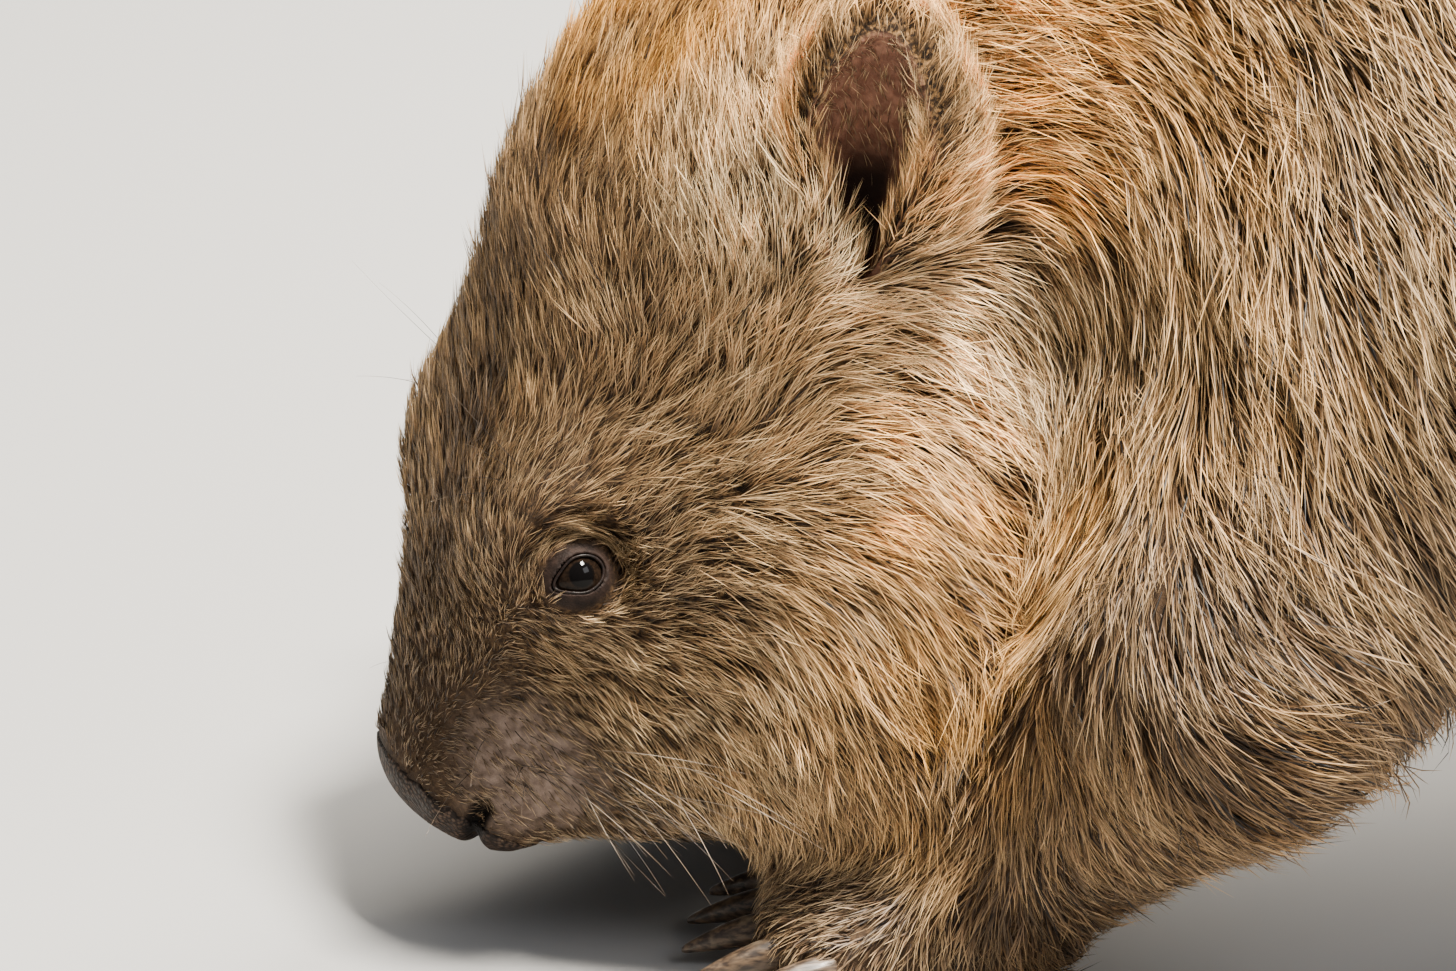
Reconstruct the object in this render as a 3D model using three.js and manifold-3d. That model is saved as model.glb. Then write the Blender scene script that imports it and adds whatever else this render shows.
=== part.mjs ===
// A common wombat, life size, grazing: head down with the nose near the ground, forelegs bent.
// Millimetres, +Z up, nose towards -Y, the animal's left side towards +X. The origin is on the floor under
// the middle of the animal. All outlines are those of the coat, out to the tips of the fur.
//
// The flesh is one smooth body, built like clay from rounded blobs that flow into each other, and then
// parted with thin cuts into head, jaw, neck, trunk, tail and three lengths of each leg.
import * as THREE from "three";
import { mergeVertices } from "three/addons/utils/BufferGeometryUtils.js";
import Module from "manifold-3d";

const wasm = await Module();
wasm.setup();

// Driving dimensions
const HEAD_PITCH = THREE.MathUtils.degToRad(60); // the bridge of the nose points this far below level
const NOSE_HEIGHT = 22; // middle of the nose pad above the floor
const NOSE_PAD_DEPTH = 14;
const CHEEK_HALF_WIDTH = 76;
const EYE_RADIUS = 8;
const EYE_SIDE = 43; // middle of an eyeball from the middle plane
const EYE_BACK = 67; // and behind the nose, along the head
const EYE_UP = 19;
const EAR = { length: 60, width: 43, depth: 24, wall: 4 };
const RUMP_BEHIND_NOSE = 852; // how far the rump reaches behind the nose, in this pose
const TRUNK_HALF_WIDTH = 145;
const BACK_HEIGHT = 350;
const BELLY_HEIGHT = 62;
const FORE_STEP = 20; // the right forepaw stands this far behind the left one
const HIND_STEP = -34; // and the right hind foot this far in front of the left one
const CLAW = { fore: { length: 27, radius: 4.2 }, hind: { length: 26, radius: 4.4 } };
const GAP = 0.3; // width of the cuts between pieces

// Finishes
const finish = (color, roughness) => new THREE.MeshStandardMaterial({ color, roughness, metalness: 0 });
const FUR = finish(0x8f7658, 0.92);
const PALE_FUR = finish(0xb0905f, 0.92);
const NOSE_SKIN = finish(0x4a3d34, 0.6);
const EYE = finish(0x120c09, 0.08);
const HORN = finish(0x4d4238, 0.45);

const V = (x, y, z) => new THREE.Vector3(x, y, z);
const UP = V(0, 0, 1);
const SIDES = [{ name: "left", s: 1 }, { name: "right", s: -1 }];

// Places on the head are given by its own measures, from the tip of the nose: to the side, back along the
// head, and up from that line. Places on the body are given as distances behind the nose and above the
// floor.
const NOSE = V(0, 0, NOSE_HEIGHT);
const HEAD_TURN = new THREE.Quaternion().setFromAxisAngle(V(1, 0, 0), HEAD_PITCH);
const headWay = (side, back, up) => V(side, back, up).applyQuaternion(HEAD_TURN);
const onHead = (side, back, up) => headWay(side, back, up).add(NOSE);
const HEAD_BACK = headWay(0, 1, 0);
const eyePlace = (s) => onHead(s * EYE_SIDE, EYE_BACK, EYE_UP);

// Clay: a field is a function of a point that is negative inside the body and grows by about 1 for each
// millimetre outwards.
function ellipsoid(centre, radii, turn = new THREE.Quaternion()) {
  const undo = turn.clone().invert();
  const scaled = V(0, 0, 0);
  const slope = V(0, 0, 0);
  return (point) => {
    scaled.copy(point).sub(centre).applyQuaternion(undo).divide(radii);
    slope.copy(scaled).divide(radii);
    const reach = scaled.length();
    const nearMiddle = reach < 1e-6;
    return nearMiddle ? -Math.min(radii.x, radii.y, radii.z) : (reach * (reach - 1)) / slope.length();
  };
}

// A round limb between two joints, each with its place and how thick it is, squeezed sideways by `flat`.
function limb(from, to, flat = 1) {
  const along = to.at.clone().sub(from.at);
  const offset = V(0, 0, 0);
  return (point) => {
    offset.copy(point).sub(from.at);
    const t = THREE.MathUtils.clamp(offset.dot(along) / along.lengthSq(), 0, 1);
    offset.addScaledVector(along, -t);
    offset.x /= flat;
    return offset.length() - THREE.MathUtils.lerp(from.thick, to.thick, t);
  };
}

// Two fields joined with a fillet about `width` wide.
function soft(a, b, width) {
  const near = Math.max(width - Math.abs(a - b), 0) / width;
  return Math.min(a, b) - (near * near * width) / 4;
}

const joined = (fields, width) => (point) => fields.reduce((sum, f) => soft(sum, f(point), width), 1e3);
const bothSides = (make) => SIDES.map(({ s }) => make(s));

// The head
function headField() {
  const blob = (side, back, up, wide, long, deep) =>
    ellipsoid(onHead(side, back, up), V(wide, long, deep), HEAD_TURN);
  const skull = blob(0, 138, 4, 62, 68, 56);
  const forehead = blob(0, 92, 9, 50, 56, 39);
  const bridge = blob(0, 52, 4, 34, 48, 30);
  const muzzle = blob(0, 35, -5, 36, 33, 26);
  const lips = blob(0, 30, -20, 30, 26, 21);
  const jaw = blob(0, 74, -32, 44, 56, 31);
  const throat = blob(0, 118, -42, 56, 50, 34);
  const cheeks = bothSides((s) => blob(s * (CHEEK_HALF_WIDTH - 40), 106, -22, 40, 50, 43));
  const jowls = bothSides((s) => blob(s * 30, 62, -22, 28, 40, 32));
  const ruff = bothSides((s) => blob(s * 42, 80, -47, 35, 46, 33));
  const brows = bothSides((s) => blob(s * 33, 74, 27, 20, 24, 15));
  const earRoots = bothSides((s) => blob(s * 44, 166, 12, 20, 26, 24));
  const middle = [skull, forehead, bridge, muzzle, lips, jaw, throat];
  return joined([...middle, ...cheeks, ...jowls, ...ruff, ...brows, ...earRoots], 15);
}

function neckField() {
  const nape = limb({ at: onHead(0, 156, -2), thick: 56 }, { at: V(0, 268, 214), thick: 106 }, 1.05);
  const throat = limb({ at: onHead(0, 136, -34), thick: 52 }, { at: V(0, 250, 136), thick: 80 }, 1.1);
  const breast = bothSides((s) => ellipsoid(V(s * 72, 184, 148), V(44, 58, 54)));
  return joined([nape, throat, ...breast], 30);
}

// The trunk
function trunkField() {
  const middle = (BACK_HEIGHT + BELLY_HEIGHT) / 2;
  const barrel = ellipsoid(V(0, 462, middle), V(TRUNK_HALF_WIDTH, 390, BACK_HEIGHT - middle));
  const chest = ellipsoid(V(0, 276, middle - 12), V(126, 132, 134));
  const rump = ellipsoid(V(0, RUMP_BEHIND_NOSE - 172, middle + 2), V(138, 172, 144));
  return joined([chest, barrel, rump], 40);
}

const tailField = ellipsoid(V(0, RUMP_BEHIND_NOSE - 12, 182), V(13, 15, 20));

// The legs: each is a chain of joints down to a foot with toes.
function foreleg(s) {
  const step = s < 0 ? FORE_STEP : 0;
  const foot = {
    at: V(s * 52, 92 + step, 13), palm: V(30, 33, 17), heading: s * -0.22,
    toes: 5, toe: V(7.5, 15, 8.6), spread: 48, reach: 27, splay: 0.5,
  };
  const joints = [
    { at: V(s * 98, 226, 174), thick: 75 },
    { at: V(s * 112, 138 + step * 0.4, 80), thick: 37 },
    { at: V(s * 70, 110 + step, 36), thick: 25 },
    { at: foot.at.clone().add(V(0, 6, 4)), thick: 17 },
  ];
  return { joints, foot, field: legField(joints, foot) };
}

function hindleg(s) {
  const step = s < 0 ? HIND_STEP : 0;
  const hip = RUMP_BEHIND_NOSE - 178;
  const foot = {
    at: V(s * 104, hip + step, 14), palm: V(28, 42, 18), heading: s * 0.12,
    toes: 5, toe: V(7.5, 15, 8.6), spread: 44, reach: 34, splay: 0.35,
  };
  const joints = [
    { at: V(s * 78, hip, 178), thick: 92 },
    { at: V(s * 108, hip - 58 + step * 0.6, 92), thick: 55 },
    { at: V(s * 102, hip + 38 + step, 36), thick: 29 },
    { at: foot.at.clone().add(V(0, 4, 4)), thick: 18 },
  ];
  return { joints, foot, field: legField(joints, foot) };
}

function legField(joints, foot) {
  const thigh = limb(joints[0], joints[1], 0.7);
  const shin = limb(joints[1], joints[2]);
  const instep = limb(joints[2], joints[3]);
  const toes = toesOf(foot).map(({ at, heading }) =>
    ellipsoid(at, foot.toe, new THREE.Quaternion().setFromAxisAngle(UP, heading)));
  return joined([thigh, shin, instep, ellipsoid(foot.at, foot.palm), ...toes], 12);
}

// Where the toes of a foot begin, and the way each one points, about the vertical.
function toesOf(foot) {
  return Array.from({ length: foot.toes }, (_, i) => {
    const across = i / (foot.toes - 1) - 0.5;
    const fromPalm = V(across * foot.spread, -foot.reach * (1 - 0.9 * across * across), -3.5);
    return {
      at: fromPalm.applyAxisAngle(UP, foot.heading).add(foot.at),
      heading: foot.heading + across * foot.splay,
    };
  });
}

// The whole body. Blobs flow widely into each other high on the body, and meet in a crease near the floor,
// where the cheeks lie against the forelegs and the paws stand clear of the chin.
const head = headField();
const neck = neckField();
const trunk = trunkField();
const forelegs = bothSides(foreleg);
const hindlegs = bothSides(hindleg);
const legs = [...forelegs, ...hindlegs];
const highness = (point) => THREE.MathUtils.smoothstep(point.z, 60, 190);

function torsoAndHead(point) {
  const torso = soft(trunk(point), tailField(point), 10);
  return soft(torso, soft(head(point), neck(point), 22), 5 + 34 * highness(point));
}

function wholeBody(point) {
  const nearestLeg = legs.reduce((least, leg) => Math.min(least, leg.field(point)), 1e3);
  return soft(torsoAndHead(point), nearestLeg, 10 + 40 * highness(point));
}

// One leg with the trunk and neck it grows from, and without the cheek that lies against it.
const legOnTrunk = (leg) => (point) => {
  const torso = soft(trunk(point), neck(point), 5 + 34 * highness(point));
  return soft(torso, leg.field(point), 10 + 40 * highness(point));
};

// The surface of a field inside a box, closed where it leaves the box. Each cell that the surface crosses
// gets one point on the surface, and the points of neighbouring cells are joined by four-sided faces.
function surfaceOf(field, box, cell) {
  const count = box.getSize(V(0, 0, 0)).divideScalar(cell).ceil().addScalar(1).toArray();
  const at = (i, j, k) => (i * (count[1] + 1) + j) * (count[2] + 1) + k;
  const place = (i, j, k) => V(i, j, k).multiplyScalar(cell).add(box.min);
  const value = new Float64Array((count[0] + 1) * (count[1] + 1) * (count[2] + 1));
  const everyCell = (visit, rim) => {
    for (let i = 0; i < count[0] + rim; i++) {
      for (let j = 0; j < count[1] + rim; j++) {
        for (let k = 0; k < count[2] + rim; k++) visit(i, j, k);
      }
    }
  };
  const onRim = (...cell) => cell.some((c, axis) => c === 0 || c === count[axis]);
  everyCell((i, j, k) => {
    value[at(i, j, k)] = onRim(i, j, k) ? cell : field(place(i, j, k));
  }, 1);

  const points = [];
  const pointOf = new Map();
  const corners = Array.from({ length: 8 }, (_, c) => [c & 1, (c >> 1) & 1, (c >> 2) & 1]);
  const edges = corners.flatMap((_, c) => [1, 2, 4].filter((bit) => !(c & bit)).map((bit) => [c, c | bit]));
  everyCell((i, j, k) => {
    const v = corners.map(([a, b, c]) => value[at(i + a, j + b, k + c)]);
    const crossed = edges.filter(([a, b]) => v[a] < 0 !== v[b] < 0);
    if (!crossed.length) return;
    const mean = V(0, 0, 0);
    for (const [a, b] of crossed) {
      const t = v[a] / (v[a] - v[b]);
      mean.add(V(...corners[a]).lerp(V(...corners[b]), t));
    }
    mean.divideScalar(crossed.length).multiplyScalar(cell).add(place(i, j, k));
    pointOf.set(at(i, j, k), points.length);
    points.push(settled(mean, field, cell));
  }, 0);

  const index = [];
  const addQuad = (a, b, c, d) => {
    const shortFirst = points[a].distanceTo(points[c]) < points[b].distanceTo(points[d]);
    index.push(...(shortFirst ? [a, b, c, a, c, d] : [b, c, d, b, d, a]));
  };
  everyCell((i, j, k) => {
    const inside = value[at(i, j, k)] < 0;
    for (const axis of [0, 1, 2]) {
      const ahead = [i, j, k];
      ahead[axis] += 1;
      const aheadInside = value[at(...ahead)] < 0;
      if (inside === aheadInside) continue;
      const around = [[0, 0], [1, 0], [1, 1], [0, 1]].map(([a, b]) => {
        const neighbour = [i, j, k];
        neighbour[(axis + 1) % 3] -= a;
        neighbour[(axis + 2) % 3] -= b;
        return pointOf.get(at(...neighbour));
      });
      addQuad(...(aheadInside ? around.reverse() : around));
    }
  }, 0);
  return new THREE.BufferGeometry().setFromPoints(points).setIndex(index);
}

// A point near the surface, moved onto it down the field's slope.
function settled(start, field, cell) {
  const point = start.clone();
  const step = cell * 0.05;
  for (let round = 0; round < 4; round++) {
    const here = field(point);
    const rise = (x, y, z) => (field(V(x, y, z).multiplyScalar(step).add(point)) - here) / step;
    const slope = V(rise(1, 0, 0), rise(0, 1, 0), rise(0, 0, 1));
    if (slope.lengthSq() < 0.05) break;
    point.addScaledVector(slope, -here / slope.lengthSq());
    if (point.distanceTo(start) > cell * 0.45) return start;
  }
  return point;
}

// Solids that can be cut and joined
function solid(geometry, matrix = new THREE.Matrix4()) {
  const bare = new THREE.BufferGeometry();
  bare.setAttribute("position", geometry.getAttribute("position").clone());
  bare.setIndex(geometry.index);
  const merged = mergeVertices(bare.applyMatrix4(matrix), 1e-3);
  const vertProperties = new Float32Array(merged.attributes.position.array);
  const triVerts = new Uint32Array(merged.index.array);
  return new wasm.Manifold(new wasm.Mesh({ numProp: 3, vertProperties, triVerts }));
}

const without = (made, others) => others.reduce((rest, other) => rest.subtract(other), made);
const largest = (made) => made.decompose().sort((a, b) => b.volume() - a.volume())[0];
const boxOf = (...corners) => new THREE.Box3().setFromPoints(corners.map((c) => V(...c)));

// A cut is a plane through `point`. All that lies behind it, against `way`, is a block that ends half a gap
// short of it.
const cutAt = (point, way) => ({ point, way: way.clone().normalize() });
const beyond = ({ point, way }) => cutAt(point, way.clone().negate());
function behind({ point, way }, gap = GAP / 2) {
  const size = 2400;
  const turn = new THREE.Quaternion().setFromUnitVectors(UP, way);
  const centre = point.clone().addScaledVector(way, -size / 2 - gap);
  const matrix = new THREE.Matrix4().compose(centre, turn, V(1, 1, 1));
  return solid(new THREE.BoxGeometry(size, size, size), matrix);
}

const NECK_CUT = cutAt(V(0, 100, 150), V(0, 0.94, 0.34));
const CHEST_CUT = cutAt(V(0, 236, 190), V(0, 0.9, 0.44));
const LOIN_CUT = cutAt(V(0, 400, 0), V(0, 1, 0));
const RUMP_CUT = cutAt(V(0, 540, 0), V(0, 1, 0));
const TAIL_CUT = cutAt(V(0, RUMP_BEHIND_NOSE - 3, 178), V(0, 1, 0));
const MOUTH_CUT = cutAt(onHead(0, 20, -27), headWay(0, 0.22, 1));
const NOSE_CUT = cutAt(onHead(0, NOSE_PAD_DEPTH, 0), HEAD_BACK);
const FLOOR = cutAt(V(0, 0, 0), UP);

// A stretch of a field, between the floor and the cuts, meshed with cells of its own size.
function stretchOf(field, box, cell, cuts) {
  const whole = solid(surfaceOf(field, box.clone().expandByScalar(cell * 2), cell));
  return cuts.reduce((rest, cut) => rest.intersect(behind(cut)), whole.intersect(behind(beyond(FLOOR), 0)));
}

// A finished piece. Cuts can leave crumbs beside it, so only its largest body is kept.
function piece(name, made, material) {
  const { vertProperties, triVerts } = largest(made).asOriginal().simplify(GAP / 3).getMesh();
  const geometry = new THREE.BufferGeometry()
    .setAttribute("position", new THREE.BufferAttribute(new Float32Array(vertProperties), 3))
    .setIndex(new THREE.BufferAttribute(new Uint32Array(triVerts), 1));
  return placed(name, geometry, material);
}

function placed(name, geometry, material, position = V(0, 0, 0), turnAboutUp = 0) {
  const mesh = new THREE.Mesh(geometry, material);
  mesh.name = name;
  mesh.position.copy(position);
  mesh.rotation.z = turnAboutUp;
  return mesh;
}

// An ear: an upright leaf with a rounded tip, narrower towards it, hollowed from the front like a cup.
function ear(s) {
  const leaf = new THREE.SphereGeometry(1, 12, 8);
  const p = leaf.getAttribute("position");
  for (let i = 0; i < p.count; i++) {
    const taper = 1.08 - 0.075 * (p.getY(i) + 1) ** 2;
    p.setXYZ(i, p.getX(i) * taper, p.getY(i), p.getZ(i) * taper);
  }
  const tip = V(s * 0.25, 0.04, 1).normalize();
  const across = tip.clone().cross(V(s * 0.8, -0.55, 0)).normalize();
  const open = across.clone().cross(tip);
  const centre = onHead(s * 62, 181, 17);
  const leafAt = (forwards, size) =>
    solid(leaf, new THREE.Matrix4()
      .makeBasis(across, tip, open)
      .setPosition(centre.clone().addScaledVector(open, forwards))
      .scale(V(EAR.width, EAR.length, EAR.depth).multiplyScalar(size / 2)));
  const hollow = leafAt(EAR.wall * 1.9, 1 - (2 * EAR.wall) / EAR.length);
  return { shell: leafAt(0, 1).subtract(hollow), room: leafAt(0, 1.03) };
}

const eyeball = (radius) => new THREE.SphereGeometry(radius, 12, 8);

// The room that an eye takes out of the head: its ball, and the dip in the coat that bares it.
function eyeRoom(s) {
  const ball = solid(eyeball(EYE_RADIUS + GAP), new THREE.Matrix4().setPosition(eyePlace(s)));
  const dipPlace = eyePlace(s).addScaledVector(headWay(s * 0.86, -0.1, 0.5), 11);
  const dip = new THREE.SphereGeometry(EYE_RADIUS * 1.35, 10, 6);
  return ball.add(solid(dip, new THREE.Matrix4().setPosition(dipPlace)));
}

// The bare nose pad: a broad cushion over the front of the muzzle, with a slit-like nostril on each side.
function nosePad() {
  const cushion = ellipsoid(onHead(0, 12, 4), V(29, 15, 20), HEAD_TURN);
  const wings = bothSides((s) => ellipsoid(onHead(s * 19, 15, -4), V(13, 14, 13), HEAD_TURN));
  const field = joined([cushion, ...wings], 8);
  const nostrils = bothSides((s) => {
    const turn = HEAD_TURN.clone().multiply(new THREE.Quaternion().setFromAxisAngle(V(0, 1, 0), s * 0.7));
    const matrix = new THREE.Matrix4().compose(onHead(s * 15, 0, -6), turn, V(7, 6, 3));
    return solid(new THREE.SphereGeometry(1, 8, 5), matrix);
  });
  return without(stretchOf(field, boxOf([-34, -22, 2], [34, 40, 55]), 7.5, [NOSE_CUT]), nostrils);
}

// A digging claw: round-backed and slightly hooked, tapering to a blunt tip. Its root is at the origin and
// it points towards -Y. `gap` swells it into the room it needs in its toe.
function clawShape({ length, radius }, gap = 0) {
  const outline = [[0, 0], [1, 0.04], [0.85, 0.5], [0.3, 0.97], [0, 1]];
  const points = outline.map(([r, y]) => new THREE.Vector2(r === 0 ? 0 : r * radius + gap, -y * length));
  points[0].y += gap;
  const cone = new THREE.LatheGeometry(points.reverse(), 6);
  const p = cone.getAttribute("position");
  for (let i = 0; i < p.count; i++) {
    const t = p.getY(i) / length;
    p.setZ(i, p.getZ(i) * 1.15 - t * t * length * 0.22);
  }
  const closed = new THREE.BufferGeometry().setAttribute("position", p).setIndex(cone.index);
  return mergeVertices(closed, 1e-3);
}

// The head, without the neck: flesh, jaw, nose pad, eyes and ears
const HEAD_BOX = boxOf([-80, -26, 0], [80, 130, 240]);
const HEAD_CELL = 13.5;

// The head swollen by a little, which the forelegs are cut back to.
const headRoom = stretchOf((p) => torsoAndHead(p) - 3 * GAP, HEAD_BOX, HEAD_CELL, []).intersect(
  behind(NECK_CUT, -GAP / 2),
);

function buildHead(ears) {
  const rooms = [...ears.map((e) => e.room), ...bothSides(eyeRoom)];
  const flesh = without(stretchOf(torsoAndHead, HEAD_BOX, HEAD_CELL, [NECK_CUT, beyond(NOSE_CUT)]), rooms);
  const group = new THREE.Group();
  group.add(piece("head", flesh.intersect(behind(beyond(MOUTH_CUT))), FUR));
  group.add(piece("jaw", flesh.intersect(behind(MOUTH_CUT)), FUR));
  group.add(piece("nose", nosePad(), NOSE_SKIN));
  for (const [i, { name, s }] of SIDES.entries()) {
    group.add(piece("ear_" + name, ears[i].shell, PALE_FUR));
    group.add(placed("eye_" + name, eyeball(EYE_RADIUS), EYE, eyePlace(s)));
  }
  return group;
}

// The neck, three stretches of trunk, and the tail
function buildTrunk(ears) {
  const legRooms = legs.map((leg) => legRoom(leg, GAP / 2));
  const group = new THREE.Group();
  const addStretch = (name, from, to, cell, cuts, rooms) => {
    const box = boxOf([-TRUNK_HALF_WIDTH - 20, from, 10], [TRUNK_HALF_WIDTH + 20, to, BACK_HEIGHT + 20]);
    group.add(piece(name, without(stretchOf(wholeBody, box, cell, cuts), [...legRooms, ...rooms]), FUR));
  };
  addStretch("neck", 60, 320, 29, [beyond(NECK_CUT), CHEST_CUT], ears.map((e) => e.room));
  addStretch("thorax", 130, 410, 38, [beyond(CHEST_CUT), LOIN_CUT], []);
  addStretch("abdomen", 390, 550, 38, [beyond(LOIN_CUT), RUMP_CUT], []);
  addStretch("rump", 530, 890, 43, [beyond(RUMP_CUT), TAIL_CUT], []);
  const tailBox = boxOf([-60, RUMP_BEHIND_NOSE - 12, 120], [60, RUMP_BEHIND_NOSE + 12, 260]);
  group.add(piece("tail", stretchOf(torsoAndHead, tailBox, 15, [beyond(TAIL_CUT)]), FUR));
  return group;
}

// The room that a leg takes out of the body: a hull over its joints and its foot, with a margin for the
// fillets. The shoulder and hip lie flat against the trunk.
function legRoom({ joints, foot }, gap) {
  const margin = { top: 4, lower: 10, toes: 6, sides: 12 };
  const balls = joints.map(({ at, thick }, i) => {
    const radius = thick + (i === 0 ? margin.top : margin.lower) + gap;
    const scale = V(i === 0 ? radius * 0.82 : radius, radius, radius);
    const matrix = new THREE.Matrix4().compose(at, new THREE.Quaternion(), scale);
    return solid(new THREE.SphereGeometry(1, 12, 7), matrix);
  });
  const sole = foot.reach + foot.toe.y + margin.toes + gap;
  const shoe = new THREE.CylinderGeometry(sole, sole, 60, 12).rotateX(Math.PI / 2);
  const narrow = new THREE.Matrix4().makeScale((foot.palm.x + margin.sides) / sole, 1, 1);
  return wasm.Manifold.hull([...balls, solid(shoe, narrow.setPosition(foot.at))]);
}

// The cut between two lengths of a leg: through the joint, halfway between their directions.
function jointCut({ joints }, i) {
  const way = (a, b) => joints[b].at.clone().sub(joints[a].at).normalize();
  return cutAt(joints[i].at, way(i - 1, i).add(way(i, i + 1)));
}

// The pieces of a leg, from the top down, the size of the cells that each is meshed with, and its claws
const FORELEG = {
  lengths: ["upper_arm", "forearm", "forepaw"], cells: [27, 22, 12],
  claw: "fore_claw", clawSize: CLAW.fore, clawed: 5,
};
const HINDLEG = {
  lengths: ["thigh", "shin", "hindfoot"], cells: [36, 28, 13],
  claw: "hind_claw", clawSize: CLAW.hind, clawed: 4,
};

function buildLeg(leg, { lengths, cells, claw, clawSize, clawed }, side) {
  const room = legRoom(leg, -GAP / 2);
  const toes = toesOf(leg.foot).slice(0, clawed);
  const sockets = toes.map(({ at, heading }) => {
    const turn = new THREE.Quaternion().setFromAxisAngle(UP, heading);
    return solid(clawShape(clawSize, GAP), new THREE.Matrix4().compose(at, turn, V(1, 1, 1)));
  });
  const [upperCut, lowerCut] = [jointCut(leg, 1), jointCut(leg, 2)];
  const cuts = [[upperCut], [beyond(upperCut), lowerCut], [beyond(lowerCut)]];
  const group = new THREE.Group();
  lengths.forEach((name, i) => {
    const box = boxOf();
    for (const { at, thick } of leg.joints.slice(i, i + 2)) {
      box.union(new THREE.Box3().setFromCenterAndSize(at, V(2, 2, 2).multiplyScalar(thick + 22)));
    }
    if (i === 2) box.expandByVector(V(12, 30, 0));
    const length = stretchOf(legOnTrunk(leg), box, cells[i], cuts[i]).intersect(room);
    group.add(piece(`${name}_${side}`, without(length, [headRoom, ...(i === 2 ? sockets : [])]), FUR));
  });
  toes.forEach(({ at, heading }, i) => {
    group.add(placed(`${claw}_${side}_${i + 1}`, clawShape(clawSize), HORN, at, heading));
  });
  return group;
}

const ears = bothSides(ear);
const wombat = new THREE.Group();
wombat.add(buildHead(ears), buildTrunk(ears));
for (const [i, { name }] of SIDES.entries()) {
  wombat.add(buildLeg(forelegs[i], FORELEG, name), buildLeg(hindlegs[i], HINDLEG, name));
}

const extent = new THREE.Box3().setFromObject(wombat);
const middle = extent.getCenter(V(0, 0, 0));
wombat.position.set(-middle.x, -middle.y, -extent.min.z);

export default wombat;
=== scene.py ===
import math

import bmesh
import bpy
import numpy as np
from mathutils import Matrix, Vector
from mathutils.bvhtree import BVHTree
from mathutils.kdtree import KDTree


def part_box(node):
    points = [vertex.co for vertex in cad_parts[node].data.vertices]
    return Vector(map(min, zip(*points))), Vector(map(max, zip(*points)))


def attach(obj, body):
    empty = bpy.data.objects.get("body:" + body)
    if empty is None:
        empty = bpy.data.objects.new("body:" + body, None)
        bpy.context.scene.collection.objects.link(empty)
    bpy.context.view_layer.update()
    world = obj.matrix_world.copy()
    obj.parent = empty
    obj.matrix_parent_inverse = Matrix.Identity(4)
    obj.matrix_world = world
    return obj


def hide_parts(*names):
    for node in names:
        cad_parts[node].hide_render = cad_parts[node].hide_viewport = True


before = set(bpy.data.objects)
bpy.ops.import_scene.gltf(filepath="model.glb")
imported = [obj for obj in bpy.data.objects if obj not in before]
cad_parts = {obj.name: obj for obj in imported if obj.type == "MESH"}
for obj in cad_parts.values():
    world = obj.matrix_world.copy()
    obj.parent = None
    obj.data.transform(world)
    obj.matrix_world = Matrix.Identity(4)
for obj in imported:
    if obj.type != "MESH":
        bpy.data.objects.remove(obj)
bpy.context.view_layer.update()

# A common wombat, life size, grazing. Lengths in the tables below are in millimetres; Blender's are metres.
MM = 0.001
SIDES = {"left": 1, "right": -1}

# Places on the head are given from the tip of the nose by its own measures: to the side, back along the head
# and up from it. Places on the body are given to the side, behind the nose, and above the floor.
HEAD_PITCH = math.radians(60)
EYE_SIDE, EYE_BACK, EYE_UP, EYE_RADIUS = 43, 67, 19, 8


def head_way(side, back, up):
    turn, tilt = math.cos(HEAD_PITCH), math.sin(HEAD_PITCH)
    return Vector((side, back * turn - up * tilt, back * tilt + up * turn))


def middle_of(node):
    low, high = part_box(node)
    return (low + high) / 2


NOSE = (middle_of("eye_left") + middle_of("eye_right")) / 2 - head_way(0, EYE_BACK, EYE_UP) * MM


def on_head(side, back, up):
    return NOSE + head_way(side, back, up) * MM


def on_body(side, behind, height):
    return Vector((side * MM, NOSE.y + behind * MM, height * MM))


# The camera looks at the left side of the head, a little from in front and from above.
VIEW_TURN, VIEW_DROP = math.radians(15), math.radians(20)
VIEW_BACK = Vector((math.cos(VIEW_DROP) * math.cos(VIEW_TURN), -math.cos(VIEW_DROP) * math.sin(VIEW_TURN),
                    math.sin(VIEW_DROP)))
VIEW_RIGHT = Vector((math.sin(VIEW_TURN), math.cos(VIEW_TURN), 0))
VIEW_UP = VIEW_BACK.cross(VIEW_RIGHT)
AIM_RIGHT, AIM_UP = 0.0584, 0.0693
AIM = NOSE + VIEW_RIGHT * AIM_RIGHT + VIEW_UP * AIM_UP
DISTANCE, LENS, SENSOR = 1.597, 188, 36
PICTURE_WIDTH, PICTURE_HEIGHT = 1456, 971
PIXEL = DISTANCE * SENSOR / LENS / PICTURE_WIDTH


def clear_selection():
    bpy.ops.object.select_all(action="DESELECT")


def only(piece):
    clear_selection()
    piece.select_set(True)
    bpy.context.view_layer.objects.active = piece


def finished_with(piece, kind, **settings):
    only(piece)
    modifier = piece.modifiers.new(kind.lower(), kind)
    for name, value in settings.items():
        setattr(modifier, name, value)
    bpy.ops.object.modifier_apply(modifier=modifier.name)


def made_primitive(name, operator, **settings):
    clear_selection()
    operator(**settings)
    piece = bpy.context.object
    piece.name = name
    piece.data.name = name
    bpy.ops.object.transform_apply(location=True, rotation=True, scale=True)
    return piece


def joined(name, parts):
    clear_selection()
    for part in parts:
        part.select_set(True)
    bpy.context.view_layer.objects.active = parts[0]
    bpy.ops.object.join()
    parts[0].name = name
    parts[0].data.name = name
    return parts[0]


def added(name, data):
    piece = bpy.data.objects.new(name, data)
    bpy.context.collection.objects.link(piece)
    return piece


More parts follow.
